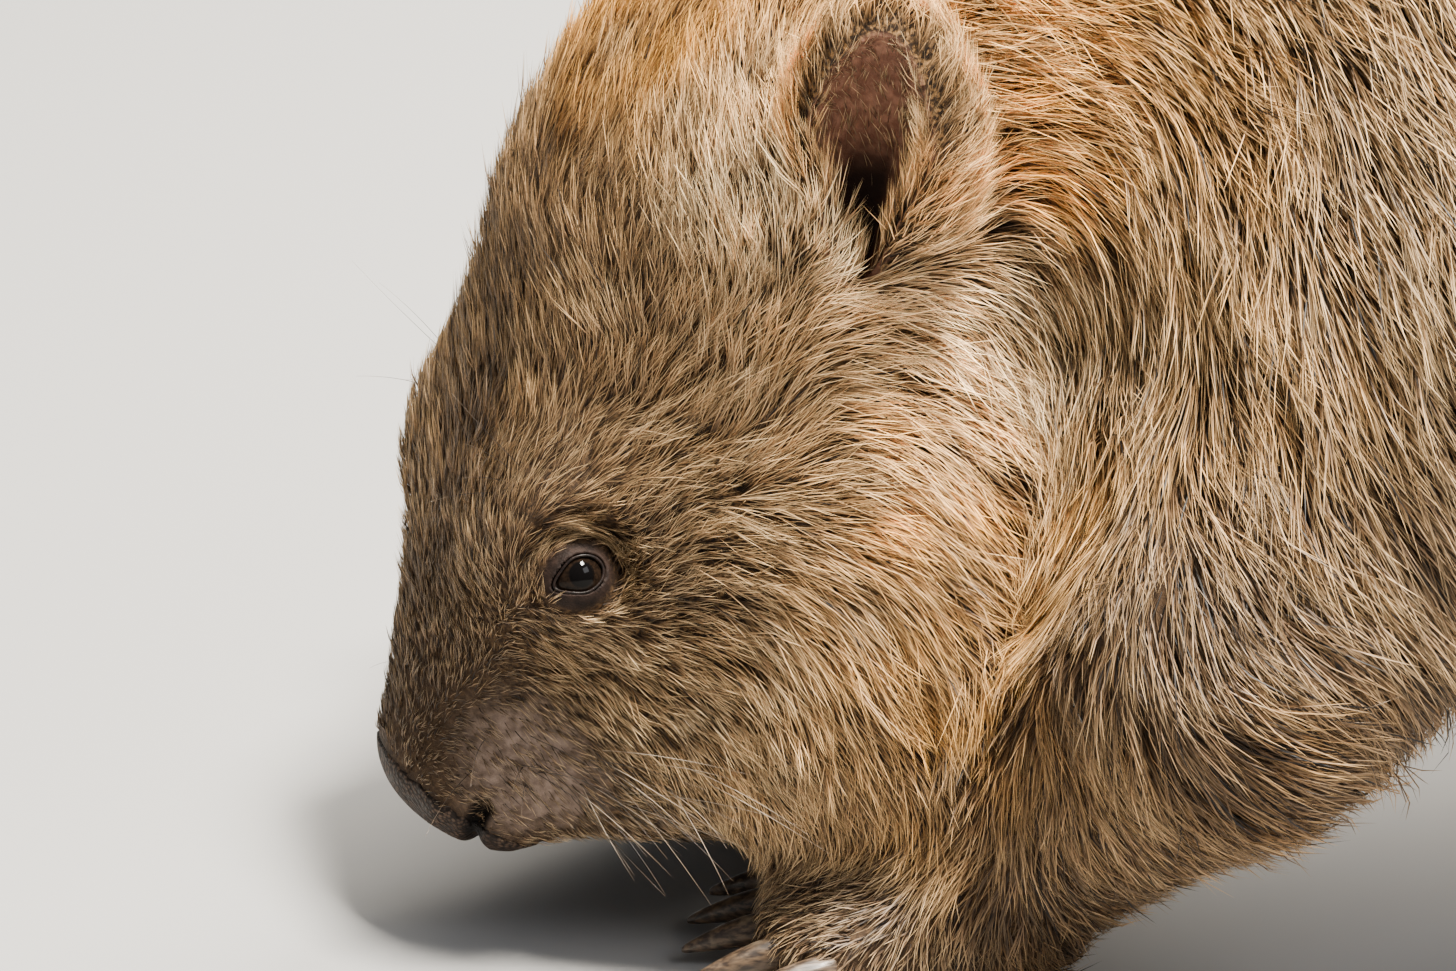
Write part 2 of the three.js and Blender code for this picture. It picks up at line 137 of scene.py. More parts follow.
def edited(piece, operator, **settings):
    """Runs a mesh operator on the whole of a piece."""
    only(piece)
    bpy.ops.object.mode_set(mode="EDIT")
    bpy.ops.mesh.select_all(action="SELECT")
    operator(**settings)
    bpy.ops.object.mode_set(mode="OBJECT")


def copy_of_nodes(name, nodes):
    made = joined(name, [added(node + "_copy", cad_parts[node].data.copy()) for node in nodes])
    made.data.materials.clear()
    edited(made, bpy.ops.mesh.remove_doubles, threshold=1e-5)
    return made


def read_from(items, field, width, kind=np.float32):
    """A field of a mesh's vertices, edges or corners, in rows of `width` numbers."""
    values = np.empty(len(items) * width, kind)
    items.foreach_get(field, values)
    return values.reshape(-1, width)


def points_of(piece):
    return read_from(piece.data.vertices, "co", 3).astype(float)


def normals_of(piece):
    return read_from(piece.data.vertices, "normal", 3).astype(float)


def set_points(piece, points):
    piece.data.vertices.foreach_set("co", np.asarray(points, np.float32).ravel())
    piece.data.update()


def set_smooth(mesh):
    mesh.polygons.foreach_set("use_smooth", np.ones(len(mesh.polygons), bool))


def smoothstep(low, high, value):
    t = np.clip((value - low) / (high - low), 0, 1)
    return t * t * (3 - 2 * t)


def unit(vectors):
    return vectors / np.maximum(np.linalg.norm(vectors, axis=-1, keepdims=True), 1e-9)


def away_from(place, points):
    """How far points are from a place, in millimetres."""
    return np.linalg.norm(points - np.array(place), axis=1) / MM


def either_side(measure):
    """The larger of what a measure gives for the left side and for the right."""
    return np.maximum(*(measure(s) for s in SIDES.values()))


def from_path(points, path):
    """How far points are from a path of straight stretches, in millimetres."""
    nearest = np.full(len(points), np.inf)
    for start, end in zip(path, path[1:]):
        start, along = np.array(start), np.array(end) - np.array(start)
        t = np.clip((points - start) @ along / (along @ along), 0, 1)
        nearest = np.minimum(nearest, np.linalg.norm(points - start - t[:, None] * along, axis=1) / MM)
    return nearest


# What the coat is like at named places: how long the hairs are, how deep the coat is over the skin, how wide
# a hair is drawn, how thickly the hairs stand, and how gold, dark and pale they are.
COAT_FIELDS = "length depth width crowd gold dark pale".split()
COAT = {
    "nose": (on_head(0, 2, 2), 2, 0.8, 0.22, 0.8, 0.0, 0.6, 0.0),
    "bridge": (on_head(0, 38, 28), 8, 3.0, 0.18, 2.8, 0.15, 0.8, 0.0),
    "muzzle": (on_head(32, 28, -2), 5, 1.8, 0.16, 1.2, 0.0, 0.3, 0.2),
    "muzzle_top": (on_head(14, 20, 22), 4.5, 1.4, 0.18, 2.2, 0.0, 1.0, 0.0),
    "lips": (on_head(18, 22, -30), 4, 2.0, 0.22, 1.6, 0.0, 0.6, 0.0),
    "chin": (on_head(0, 55, -58), 8, 4.0, 0.3, 1.2, 0.1, 0.5, 0.0),
    "eye": (on_head(43, 67, 19), 6.5, 2.6, 0.18, 3.0, 0.1, 0.5, 0.1),
    "brow": (on_head(34, 88, 36), 12, 4.5, 0.2, 2.5, 0.25, 0.55, 0.1),
    "forehead": (on_head(0, 98, 46), 14, 6, 0.2, 2.3, 0.2, 1.0, 0.0),
    "forehead_side": (on_head(38, 120, 44), 15, 6.0, 0.21, 2.2, 0.3, 0.85, 0.0),
    "temple": (on_head(50, 115, 28), 18, 7.0, 0.22, 2.1, 0.35, 0.0, 0.7),
    "temple_low": (on_head(57, 100, 6), 16, 6.5, 0.22, 2.1, 0.15, 0.3, 0.35),
    "crown": (on_head(20, 165, 52), 18, 9.0, 0.25, 1.8, 1.0, 0.2, 0.1),
    "crown_side": (on_head(46, 170, 38), 17, 8.0, 0.25, 1.8, 0.75, 0.0, 0.7),
    "ear_front": (on_head(56, 156, 25), 15, 7.0, 0.24, 2.3, 0.05, 0.0, 1.0),
    "ear_foot": (on_head(58, 146, 18), 15, 7.0, 0.24, 2.3, 0.05, 0.0, 1.0),
    "under_eye": (on_head(48, 50, -2), 10, 4.5, 0.19, 2.6, 0.3, 0.0, 0.6),
    "lower_face": (on_head(48, 60, -25), 14, 6, 0.21, 2.2, 0.4, 0.0, 0.85),
    "cheek_top": (on_head(66, 118, 0), 20, 9.0, 0.24, 1.9, 0.65, 0.0, 0.75),
    "cheek": (on_head(66, 96, -20), 21, 9.0, 0.24, 1.9, 0.7, 0.0, 0.7),
    "cheek_back": (on_head(72, 125, -42), 26, 12.0, 0.28, 1.4, 0.95, 0.0, 0.7),
    "ruff": (on_head(73, 95, -60), 24, 11, 0.28, 1.5, 1.0, 0.0, 0.7),
    # The crease rows' dark is painted shade in the crease between the cheek and the shoulder
    "crease_top": (on_body(92, 112, 98), 20, 5.0, 0.28, 1.1, 0.5, 0.2, 0.4),
    "crease": (on_body(83, 104, 76), 20, 4.0, 0.28, 1.1, 0.5, 0.3, 0.4),
    "crease_low": (on_body(78, 93, 58), 18, 4.0, 0.28, 1.1, 0.4, 0.5, 0.2),
    # under_ruff: its dark is painted shade, where the cheek's fur hangs over the top of the shoulder
    "under_ruff": (on_body(113, 108, 104), 26, 8.0, 0.3, 1.1, 0.1, 1.0, 0.0),
    # The jowl's dark mark is painted shade on the underside of the cheek; its gold is the fur's own
    "jowl": (on_head(52, 78, -58), 23, 9.0, 0.26, 1.5, 0.9, 0.5, 0.0),
    "throat": (on_head(0, 110, -70), 25, 11.0, 0.5, 0.6, 0.3, 0.5, 0.0),
    "below_ear": (on_head(62, 151, -18), 22, 10.0, 0.26, 1.6, 0.2, 0.0, 0.95),
    "ear_back": (on_head(62, 192, -2), 26, 12.0, 0.28, 1.5, 1.0, 0.0, 1.0),
    "behind_ear": (on_body(75, 125, 195), 28, 13.0, 0.3, 1.2, 0.5, 0.5, 0.2),
    "nape": (on_body(0, 215, 325), 32, 14.0, 0.42, 0.65, 0.5, 0.1, 0.5),
    "neck": (on_body(95, 185, 190), 34, 15.0, 0.34, 0.85, 0.3, 0.4, 0.5),
    # behind_lock: its dark is painted shade behind the upper edge of the ruff
    "behind_lock": (on_body(68, 112, 146), 26, 12.0, 0.28, 1.3, 0.3, 0.65, 0.1),
    "shoulder": (on_body(130, 270, 200), 42, 16.0, 0.42, 0.58, 0.15, 0.15, 0.85),
    "withers": (on_body(0, 340, 350), 40, 15.0, 0.70, 0.28, 0.1, 0.6, 0.1),
    "back": (on_body(0, 520, 350), 40, 15.0, 0.90, 0.17, 0.1, 0.7, 0.0),
    "flank": (on_body(145, 440, 200), 42, 16.0, 0.75, 0.24, 0.12, 0.45, 0.25),
    "belly": (on_body(60, 460, 75), 34, 13.0, 0.75, 0.20, 0.3, 0.3, 0.3),
    "rump": (on_body(60, 810, 230), 38, 15.0, 0.90, 0.17, 0.15, 0.65, 0.0),
    "thigh": (on_body(140, 670, 180), 38, 14.0, 0.85, 0.20, 0.15, 0.6, 0.05),
    # The dark of the arm rows is partly the fur's grey-brown and partly painted shade on the arm's lower,
    # downward-facing parts
    "upper_arm": (on_body(140, 180, 125), 34, 12.0, 0.38, 0.78, 0.2, 0.75, 0.2),
    "elbow": (on_body(135, 140, 75), 28, 10.0, 0.36, 0.90, 0.4, 1.0, 0.0),
    "forearm": (on_body(90, 115, 42), 18, 6.0, 0.34, 1.10, 0.1, 1.0, 0.0),
    "forepaw": (on_body(55, 80, 15), 8, 2.0, 0.36, 1.2, 0.0, 0.85, 0.0),
    "shin": (on_body(115, 690, 55), 22, 7.0, 0.65, 0.45, 0.1, 0.5, 0.1),
    "hindfoot": (on_body(104, 655, 15), 9, 2.0, 0.45, 0.8, 0.0, 0.75, 0.0),
    "chest": (on_body(0, 190, 95), 30, 12.0, 0.70, 0.25, 0.15, 0.35, 0.1),
}


BLENDED_OVER = 18 * MM


def coat_at(points):
    """The coat's values at some points, blended from the places nearby and their mirror images."""
    total = np.zeros((len(points), len(COAT_FIELDS)))
    weight = np.zeros(len(points))
    for place, *values in COAT.values():
        for s in SIDES.values():
            distance = np.linalg.norm(points - np.array(place) * (s, 1, 1), axis=1)
            near = 1 / (distance**4 + BLENDED_OVER**4)
            total += near[:, None] * np.array(values)
            weight += near
    return dict(zip(COAT_FIELDS, (total / weight[:, None]).T))


# The skin is one closed surface: the fleshy pieces run together, smoothed, and drawn in by the depth of the
# coat. The face is meshed more finely than the rest.
SIDED = "upper_arm forearm forepaw thigh shin hindfoot".split()
FLESH = "head jaw nose neck thorax abdomen rump tail".split()
FLESH += [f"{name}_{side}" for side in SIDES for name in SIDED]
SKIN_CELL = 4.8 * MM
BRIDGED = 0.4 * MM
EYE_AXIS = (0.86, 0.3, 0.25)


def eye_axis(s):
    side, back, up = EYE_AXIS
    return head_way(side * s, back, up).normalized()


def eye_middle(s):
    return on_head(EYE_SIDE * s, EYE_BACK, EYE_UP)


def behind_nose(points):
    return (points[:, 1] - NOSE.y) / MM


def head_measures(points):
    """How far points are to the side, back along the head and up, in millimetres from the nose."""
    offset = (points - np.array(NOSE)) / MM
    back = offset @ np.array(head_way(0, 1, 0))
    up = offset @ np.array(head_way(0, 0, 1))
    return offset[:, 0], back, up


def smoothed(piece, weights, rounds):
    group = piece.vertex_groups.new(name="smoothing")
    for level in np.unique(np.round(weights, 2)):
        chosen = np.flatnonzero(np.round(weights, 2) == level).tolist()
        group.add(chosen, float(level), "REPLACE")
    finished_with(piece, "SMOOTH", factor=0.5, iterations=rounds, vertex_group=group.name)
    piece.vertex_groups.clear()


def filler(radius, place):
    """A ball that fills a hollow between the fleshy pieces."""
    return made_primitive("filler", bpy.ops.mesh.primitive_uv_sphere_add, segments=24, ring_count=14,
                          radius=radius * MM, location=place)


def build_body():
    fillers = []
    for s in SIDES.values():
        ear_foot = on_head(*ear_place(s)) + Vector((-0.2 * s, -0.04, -1)) * 16 * MM
        fillers += [filler(10, eye_middle(s)), filler(19, ear_foot), filler(18, on_body(82 * s, 128, 96))]
    body = joined("skin", [copy_of_nodes("skin", FLESH), *fillers])
    finished_with(body, "DISPLACE", strength=BRIDGED, mid_level=0)
    finished_with(body, "REMESH", mode="VOXEL", voxel_size=SKIN_CELL)
    points = points_of(body)
    on_trunk = smoothstep(150, 260, behind_nose(points)) * smoothstep(40, 110, points[:, 2] / MM)
    in_neck = smoothstep(70, 150, behind_nose(points)) * smoothstep(60, 120, points[:, 2] / MM)
    smoothed(body, 0.1 + 0.25 * in_neck + 0.65 * on_trunk, 60)
    points, normals = points_of(body), normals_of(body)
    depth = coat_at(points)["depth"] * MM
    for s in SIDES.values():
        depth *= 1 - 0.85 * smoothstep(48, 26, away_from(on_body(88 * s, 116, 96), points))
    on_sole = smoothstep(7, 2, points[:, 2] / MM) * smoothstep(-0.5, -0.9, normals[:, 2])
    set_points(body, points - normals * (depth * (1 - on_sole))[:, None])
    finished_with(body, "SMOOTH", factor=0.5, iterations=3)
    return body


def refined(body, chosen_faces):
    """Divides the faces whose middles are chosen, once."""
    mesh = bmesh.new()
    mesh.from_mesh(body.data)
    mesh.faces.ensure_lookup_table()
    middles = np.array([face.calc_center_median() for face in mesh.faces])
    faces = [mesh.faces[i] for i in np.flatnonzero(chosen_faces(middles))]
    edges = list({edge for face in faces for edge in face.edges})
    bmesh.ops.subdivide_edges(mesh, edges=edges, cuts=1, use_grid_fill=True, smooth=0.6)
    bmesh.ops.triangulate(mesh, faces=[face for face in mesh.faces if len(face.verts) > 4])
    mesh.to_mesh(body.data)
    mesh.free()


def near_eyes(points, reach):
    return either_side(lambda s: away_from(eye_middle(s) + eye_axis(s) * 5 * MM, points) < reach)


def near_nose(points, reach):
    return away_from(on_head(0, 12, -6), points) < reach


def on_face(points):
    _, back, _ = head_measures(points)
    return (back < 135) & (behind_nose(points) < 110) & (points[:, 2] / MM > 8)


LID_RADIUS = 9.1
LID_OPENING = (4.6, 3.6)
FRONT_CORNER = 5.7
OPENING_DEPTH = 5


def eye_frame(s):
    """The ways from the front corner of the eye to its back corner, up across the lids and out."""
    axis = eye_axis(s)
    along = VIEW_RIGHT * 0.9 + VIEW_UP * 0.42
    along.x *= s
    along = (along - axis * along.dot(axis)).normalized()
    return np.array(along), np.array(axis.cross(along) * s), np.array(axis)


def eye_measures(points, s):
    """How far points are along the lids, up across them and out, in millimetres from the eye's middle."""
    offset = (points - np.array(eye_middle(s))) / MM
    return [offset @ way for way in eye_frame(s)]


def lid_opening_at(x):
    """Half the length and half the height of the opening, which is drawn out to its front corner."""
    length = np.where(x < 0, FRONT_CORNER, LID_OPENING[0])
    return length, LID_OPENING[1] * (1 - 0.3 * smoothstep(0, FRONT_CORNER, -x))


def sculpted_eyes(points):
    """Lids: the skin is drawn over the front of each eyeball, open in an almond, with a rounded rim."""
    points = points.copy()
    for s in SIDES.values():
        x, y, height = eye_measures(points, s)
        reach = np.hypot(x, y)
        near = (reach < 17) & (height > -9)
        half_length, half_height = lid_opening_at(x)
        opened = smoothstep(1.16, 0.98, np.hypot(x / half_length, y / half_height))
        lid = np.sqrt(np.maximum(LID_RADIUS**2 - reach**2, 0)) - OPENING_DEPTH * opened
        moved = np.where(near, (lid - height) * smoothstep(15, 7, reach), 0)
        points += moved[:, None] * np.array(eye_axis(s)) * MM
    return points


# The ears: upright leaves with a rounded tip, hollowed from the front, with a soft rim.
EAR_SIZE = (37, 22, 58)
HOLLOW_SIZE = (28, 22, 56)
HOLLOW_FORWARDS, HOLLOW_DROP, HOLLOW_NARROWING = 6.8, 6, 0.5


def ear_place(s):
    return 62 * s, 181, 17


def ear_frame(s):
    """The ways across an ear, up to its tip and out of its opening."""
    tip = Vector((s * 0.25, 0.04, 1)).normalized()
    across = tip.cross(Vector((s * 0.8, -0.55, 0))).normalized()
    return np.array(across), np.array(tip), np.array(across.cross(tip))


def ear_middle(s):
    return np.array(on_head(*ear_place(s)))


def ear_measures(points, s):
    """How far points are across an ear, out of its opening and up it, in millimetres from its middle."""
    across, tip, opening = ear_frame(s)
    offset = (points - ear_middle(s)) / MM
    return offset @ across, offset @ opening, offset @ tip


def ear_distance(points, s):
    """How far points are from the middle of an ear, where the ear's own outline is at 1."""
    return np.sqrt(sum((offset * 2 / size) ** 2 for offset, size in zip(ear_measures(points, s), EAR_SIZE)))


def around_ears(points):
    return either_side(lambda s: smoothstep(1.7, 1.3, ear_distance(points, s)))


def leaf_taper(z, narrowing):
    """How wide and how deep a leaf is at a height from -1 to 1, drawn in at its foot by `narrowing`."""
    taper = 1.08 - 0.075 * (z + 1) ** 2
    return taper * (1 - narrowing * smoothstep(0.4, -0.7, z)), taper


def ear_leaf(s, size, forwards=0, drop=0, narrowing=0):
    leaf = made_primitive("leaf", bpy.ops.mesh.primitive_uv_sphere_add, segments=40, ring_count=28, radius=1)
    across, tip, opening = ear_frame(s)
    width, depth, length = size
    x, y, z = points_of(leaf).T
    slim, taper = leaf_taper(z, narrowing)
    shaped = np.outer(x * slim * width / 2, across) - np.outer(y * taper * depth / 2, opening)
    shaped += np.outer(z * length / 2, tip)
    set_points(leaf, ear_middle(s) + (opening * forwards - tip * drop + shaped) * MM)
    return leaf


def cut_with(piece, cutter, operation):
    finished_with(piece, "BOOLEAN", object=cutter, operation=operation, solver="MANIFOLD")
    bpy.data.objects.remove(cutter)


def with_ears(body):
    """Ears joined to the skin, then hollowed together with the skin at their feet."""
    for s in SIDES.values():
        ear = ear_leaf(s, EAR_SIZE)
        finished_with(ear, "REMESH", mode="VOXEL", voxel_size=1.3 * MM)
        cut_with(body, ear, "UNION")
        hollow = ear_leaf(s, HOLLOW_SIZE, HOLLOW_FORWARDS, HOLLOW_DROP, HOLLOW_NARROWING)
        finished_with(hollow, "REMESH", mode="VOXEL", voxel_size=1.2 * MM)
        cut_with(body, hollow, "DIFFERENCE")


def grooved(points, normals, path, width, depth):
    """Presses a groove along a path into the points; a depth below zero raises a ridge."""
    pressed = smoothstep(width, 0, from_path(points, path)) * depth * MM
    return points - normals * pressed[:, None]


def nostril(s):
    return [on_head(9 * s, 0, -7), on_head(17 * s, 1, -1), on_head(24 * s, 7, 4), on_head(26 * s, 11, 5)]


LIP_LINE_DEPTH = 2.6


def sculpted_mouth(points, normals):
    """The slit and the wing of each nostril, the groove under the nose and the line between the lips."""
    for s in SIDES.values():
        wing = [on_head(11 * s, 3, 8), on_head(20 * s, 6, 11)]
        points = grooved(points, normals, nostril(s), 3.6, 5)
        points = grooved(points, normals, wing, 4, -0.8)
    below_nose = [on_head(0, 2, 6), on_head(0, 2, -14), on_head(0, 8, -24)]
    points = grooved(points, normals, below_nose, 2.4, 1.8)
    side, back, up = head_measures(points)
    from_lips = np.abs(up + 27 + 0.22 * (back - 20) + 0.12 * np.abs(side))
    pressed = smoothstep(3.2, 0, from_lips) * smoothstep(58, 46, back) * smoothstep(50, 44, np.abs(side))
    return points - normals * (pressed * LIP_LINE_DEPTH * MM)[:, None]


skin = build_body()
with_ears(skin)
smoothed(skin, 0.6 * around_ears(points_of(skin)), 6)
refined(skin, on_face)
refined(skin, lambda points: near_eyes(points, 19) | near_nose(points, 40))
refined(skin, lambda points: near_eyes(points, 11.5) | near_nose(points, 24))
set_points(skin, sculpted_mouth(points_of(skin), normals_of(skin)))
set_points(skin, sculpted_eyes(points_of(skin)))
edited(skin, bpy.ops.mesh.quads_convert_to_tris)
edited(skin, bpy.ops.uv.smart_project, angle_limit=math.radians(66), island_margin=0.002)
skin.data.uv_layers[0].name = "OFBake"
set_smooth(skin.data)
skin_points = points_of(skin)
skin_normals = normals_of(skin)


def bareness(points, normals):
    """Where the skin is bare: the lids, the nose pad and the soles."""
    def on_lids(s):
        x, y, height = eye_measures(points, s)
        return smoothstep(7.7, 6.1, np.hypot(x * 0.93 + 0.5, y)) * (height > 0)

    side, back, up = head_measures(points)
    nose = smoothstep(9.5, 7, back + 0.05 * np.abs(side)) * smoothstep(-22, -14, up)
    nose *= behind_nose(points) < 30
    sole = smoothstep(6, 3, points[:, 2] / MM) * smoothstep(-0.6, -0.85, normals[:, 2])
    return np.maximum(np.maximum(nose, either_side(on_lids)), sole)


def ear_inside(points, normals):
    """The hollows of the ears."""
    width, depth, length = HOLLOW_SIZE

    def inside(s):
        x, forwards, up = ear_measures(points, s)
        height = (up + HOLLOW_DROP) * 2 / length
        slim, taper = leaf_taper(np.clip(height, -1, 1), HOLLOW_NARROWING)
        offsets = (x * 2 / width / slim, (forwards - HOLLOW_FORWARDS) * 2 / depth / taper, height)
        hollowed = smoothstep(1.06, 0.99, np.linalg.norm(offsets, axis=0))
        return smoothstep(-0.2, 0.3, normals @ ear_frame(s)[2]) * hollowed

    return either_side(inside)


def ear_fringe(points):
    """The back half of an ear's hollow, low down, which long pale hairs cover."""
    def fringed(s):
        x, _, up = ear_measures(points, s)
        return smoothstep(1, 7, x * s) * smoothstep(10, -4, up) * (ear_distance(points, s) < 1.3)

    return either_side(fringed)


def ear_slit(points):
    """The slit low in the front of each ear's hollow, painted dark as the shade in its recess."""
    def shade(s):
        x, _, up = ear_measures(points, s)
        return smoothstep(8, 3, np.abs(x * s + 3)) * smoothstep(-3, -16, up) * (ear_distance(points, s) < 1.3)

    return either_side(shade)


def on_ears(points):
    """The ears above their feet."""
    def worn(s):
        _, _, up = ear_measures(points, s)
        return smoothstep(1.25, 1.12, ear_distance(points, s)) * smoothstep(-24, -12, up)

    return either_side(worn)


# The gap behind the ruff of each cheek, from its top to its foot, where the coat is painted dark as shade
RUFF_GAP = [on_body(112, 106, 100), on_body(95, 103, 87), on_body(80, 99, 70), on_body(74, 92, 52)]


def behind_ruff(points):
    return either_side(lambda s: smoothstep(10, 4, from_path(points, np.array(RUFF_GAP) * (s, 1, 1))))


# Painted shade: the nostril slits are coloured near-black as the shade inside them
def in_nostrils(points):
    return either_side(lambda s: smoothstep(3.4, 1.6, from_path(points, nostril(s))))


def on_thin_coat(points):
    """The sides of the muzzle, where the skin shows through."""
    return either_side(lambda s: smoothstep(22, 8, away_from(on_head(33 * s, 24, 3), points)))


# The coat on the outside of an ear, in its hollow, and where the long hairs cover the hollow
EAR_COAT = {
    "length": (17, 7, 17), "depth": (5.5, 1.2, 4.5), "width": (0.2, 0.16, 0.18), "crowd": (3.4, 0.8, 3.2),
    "gold": (0.6, 0.1, 0.3), "dark": (0.0, 0.05, 0.0), "pale": (0.9, 0.5, 0.95),
}


def full_coat_at(points, normals):
    """The coat's values on the skin, with the short fur of the ears and the bare places."""
    coat = coat_at(points)
    worn, inside = on_ears(points), ear_inside(points, normals)
    fringed = ear_fringe(points)
    for field, (outer, inner, fringe) in EAR_COAT.items():
        on_ear = outer + (inner + (fringe - inner) * fringed - outer) * inside
        coat[field] = coat[field] + (on_ear - coat[field]) * np.maximum(worn, inside)
    coat["bare"] = bareness(points, normals)
    coat["inside"] = inside
    coat["slit"] = ear_slit(points) * inside
    # Painted shade: in the gap behind each ruff the hairs are made dark and lose their pale.
    shaded = behind_ruff(points)
    coat["dark"] = coat["dark"] + (1 - coat["dark"]) * shaded
    coat["pale"] = coat["pale"] * (1 - shaded)
    coat["length"] = coat["length"] * (1 - 0.5 * shaded)
    coat["thin"] = on_thin_coat(points)
    coat["crowd"] = coat["crowd"] * (1 - coat["bare"]) * (1 - coat["slit"]) * (1 - 0.45 * coat["thin"])
    unseen = smoothstep(5, -30, points[:, 0] / MM)
    coat["crowd"] = coat["crowd"] * (1 - 0.45 * unseen)
    coat["width"] = coat["width"] * (1 + 0.4 * unseen)
    return coat


# The lie of the coat as the camera sees it: a place in the picture, and the way the hairs point there, in
# degrees counterclockwise from the picture's right.
SEEN_LIE = {
    "nose_bridge": (405, 600, 92), "bridge": (415, 500, 93), "bridge_top": (440, 380, 92),
    "forehead_front": (490, 230, 95), "forehead_high": (560, 80, 97), "forehead": (570, 330, 84),
    "forehead_side": (660, 260, 82), "crown_front": (680, 90, 88), "front_of_eye": (500, 560, 84),
    "above_eye": (560, 500, 62), "over_eye": (620, 500, 32), "behind_brow": (690, 510, 16),
    "temple_low": (720, 450, 45), "temple": (740, 370, 55), "ear_front_low": (790, 290, 55),
    "ear_front": (790, 200, 95), "below_ear": (850, 310, 25), "behind_ear_low": (950, 260, 5),
    "cheek_top": (880, 400, 5), "behind_eye": (660, 575, 12), "cheek_mid_top": (770, 560, 2),
    "cheek_mid": (850, 560, -15), "cheek_back_top": (960, 440, -40), "under_eye": (570, 640, -8),
    "muzzle_back": (480, 640, 60), "muzzle_side": (520, 720, -25), "lower_face": (620, 720, -35),
    "lower_face_low": (640, 800, -48), "chin_side": (600, 840, -35), "cheek": (760, 650, -35),
    "cheek_low": (780, 750, -60), "jowl": (800, 820, -82), "cheek_back": (880, 660, -50),
    "jowl_back": (900, 790, -82), "cheek_edge": (980, 560, -50), "ruff": (960, 680, -65),
    "neck_gold": (1000, 120, -3), "neck_top": (1100, 60, -12), "neck_lock": (965, 320, -78),
    "neck": (1080, 300, -45), "neck_back": (1200, 200, -42), "shoulder_top": (1300, 60, -42),
    "shoulder": (1300, 300, -55), "shoulder_back": (1420, 150, -57), "shoulder_low": (1150, 500, -60),
    "flank": (1400, 500, -53), "arm_top": (1100, 640, -66), "arm_front": (990, 780, -86),
    "arm": (1150, 780, -55), "elbow": (1300, 790, -38), "arm_low": (1100, 870, -62),
    "elbow_tip": (1400, 730, -50),
}
# And where the camera sees it badly or not at all: a place and a way
PLAIN_LIE = {
    "bridge_middle": (on_head(0, 60, 32), head_way(0, 1, 0.1)),
    "forehead_middle": (on_head(0, 110, 50), head_way(0, 1, 0)),
    "crown_middle": (on_head(0, 175, 55), Vector((0, 1, 0.35))),
    "nape": (on_body(0, 200, 320), Vector((0, 1, 0.2))),
    "withers": (on_body(0, 330, 350), Vector((0, 1, -0.05))),
    "back": (on_body(0, 550, 350), Vector((0, 1, 0))),
    "rump_top": (on_body(0, 780, 300), Vector((0, 0.8, -0.6))),
    "rump_end": (on_body(0, 850, 200), Vector((0, 0.1, -1))),
    "flank_top": (on_body(90, 450, 320), Vector((0.35, 0.8, -0.35))),
    "flank_middle": (on_body(150, 450, 230), Vector((0.1, 0.75, -0.65))),
    "flank_low": (on_body(140, 450, 110), Vector((0, 0.8, -0.6))),
    "belly": (on_body(0, 450, 60), Vector((0, 1, 0))),
    "thigh": (on_body(150, 680, 200), Vector((0, 0.4, -1))),
    "thigh_low": (on_body(140, 640, 110), Vector((0, 0.2, -1))),
    "shin": (on_body(120, 700, 50), Vector((0, 0.1, -1))),
    "hindfoot": (on_body(104, 640, 25), Vector((0, -1, -0.3))),
    "heel": (on_body(104, 705, 40), Vector((0, 0, -1))),
    "chest_front": (on_body(0, 170, 110), Vector((0, 0.5, -0.8))),
    "inner_arm": (on_body(40, 180, 110), Vector((0, 0.3, -1))),
    "forearm": (on_body(80, 110, 45), Vector((-0.2, -0.2, -1))),
    "forepaw": (on_body(52, 80, 20), Vector((0, -1, -0.3))),
    "throat": (on_head(0, 100, -70), head_way(0, 1, 0)),
    "chin": (on_head(0, 40, -50), head_way(0, 1, 0)),
    "lips": (on_head(20, 15, -28), head_way(0.2, 1, -0.2)),
    "inner_thigh": (on_body(50, 650, 120), Vector((0, 0.3, -1))),
    "tail": (on_body(0, 870, 180), Vector((0, 0.1, -1))),
}
SKIN_TREE = BVHTree.FromObject(skin, bpy.context.evaluated_depsgraph_get())
CAMERA_PLACE = AIM + VIEW_BACK * DISTANCE


def seen_place(px, py):
    """The place on the skin, and its normal, at a point of the picture."""
    across, down = (px - PICTURE_WIDTH / 2) * PIXEL, (py - PICTURE_HEIGHT / 2) * PIXEL
    ray = AIM + VIEW_RIGHT * across - VIEW_UP * down - CAMERA_PLACE
    place, normal, _, _ = SKIN_TREE.ray_cast(CAMERA_PLACE, ray.normalized())
    return place, normal


def lie_guides():
    guides = []
    for px, py, angle in SEEN_LIE.values():
        place, normal = seen_place(px, py)
        if place is not None:
            turn = math.radians(angle)
            guides.append((place, normal, VIEW_RIGHT * math.cos(turn) + VIEW_UP * math.sin(turn)))
    for near, way in PLAIN_LIE.values():
        place, normal, _, _ = SKIN_TREE.find_nearest(near)
        guides.append((place, normal, way))
    mirror = np.array((-1, 1, 1))
    rows = [tuple(np.array(v) for v in guide) for guide in guides]
    return rows + [tuple(v * mirror for v in row) for row in rows]


def tangent_to(ways, normals):
    return unit(ways - normals * np.sum(ways * normals, axis=1, keepdims=True))


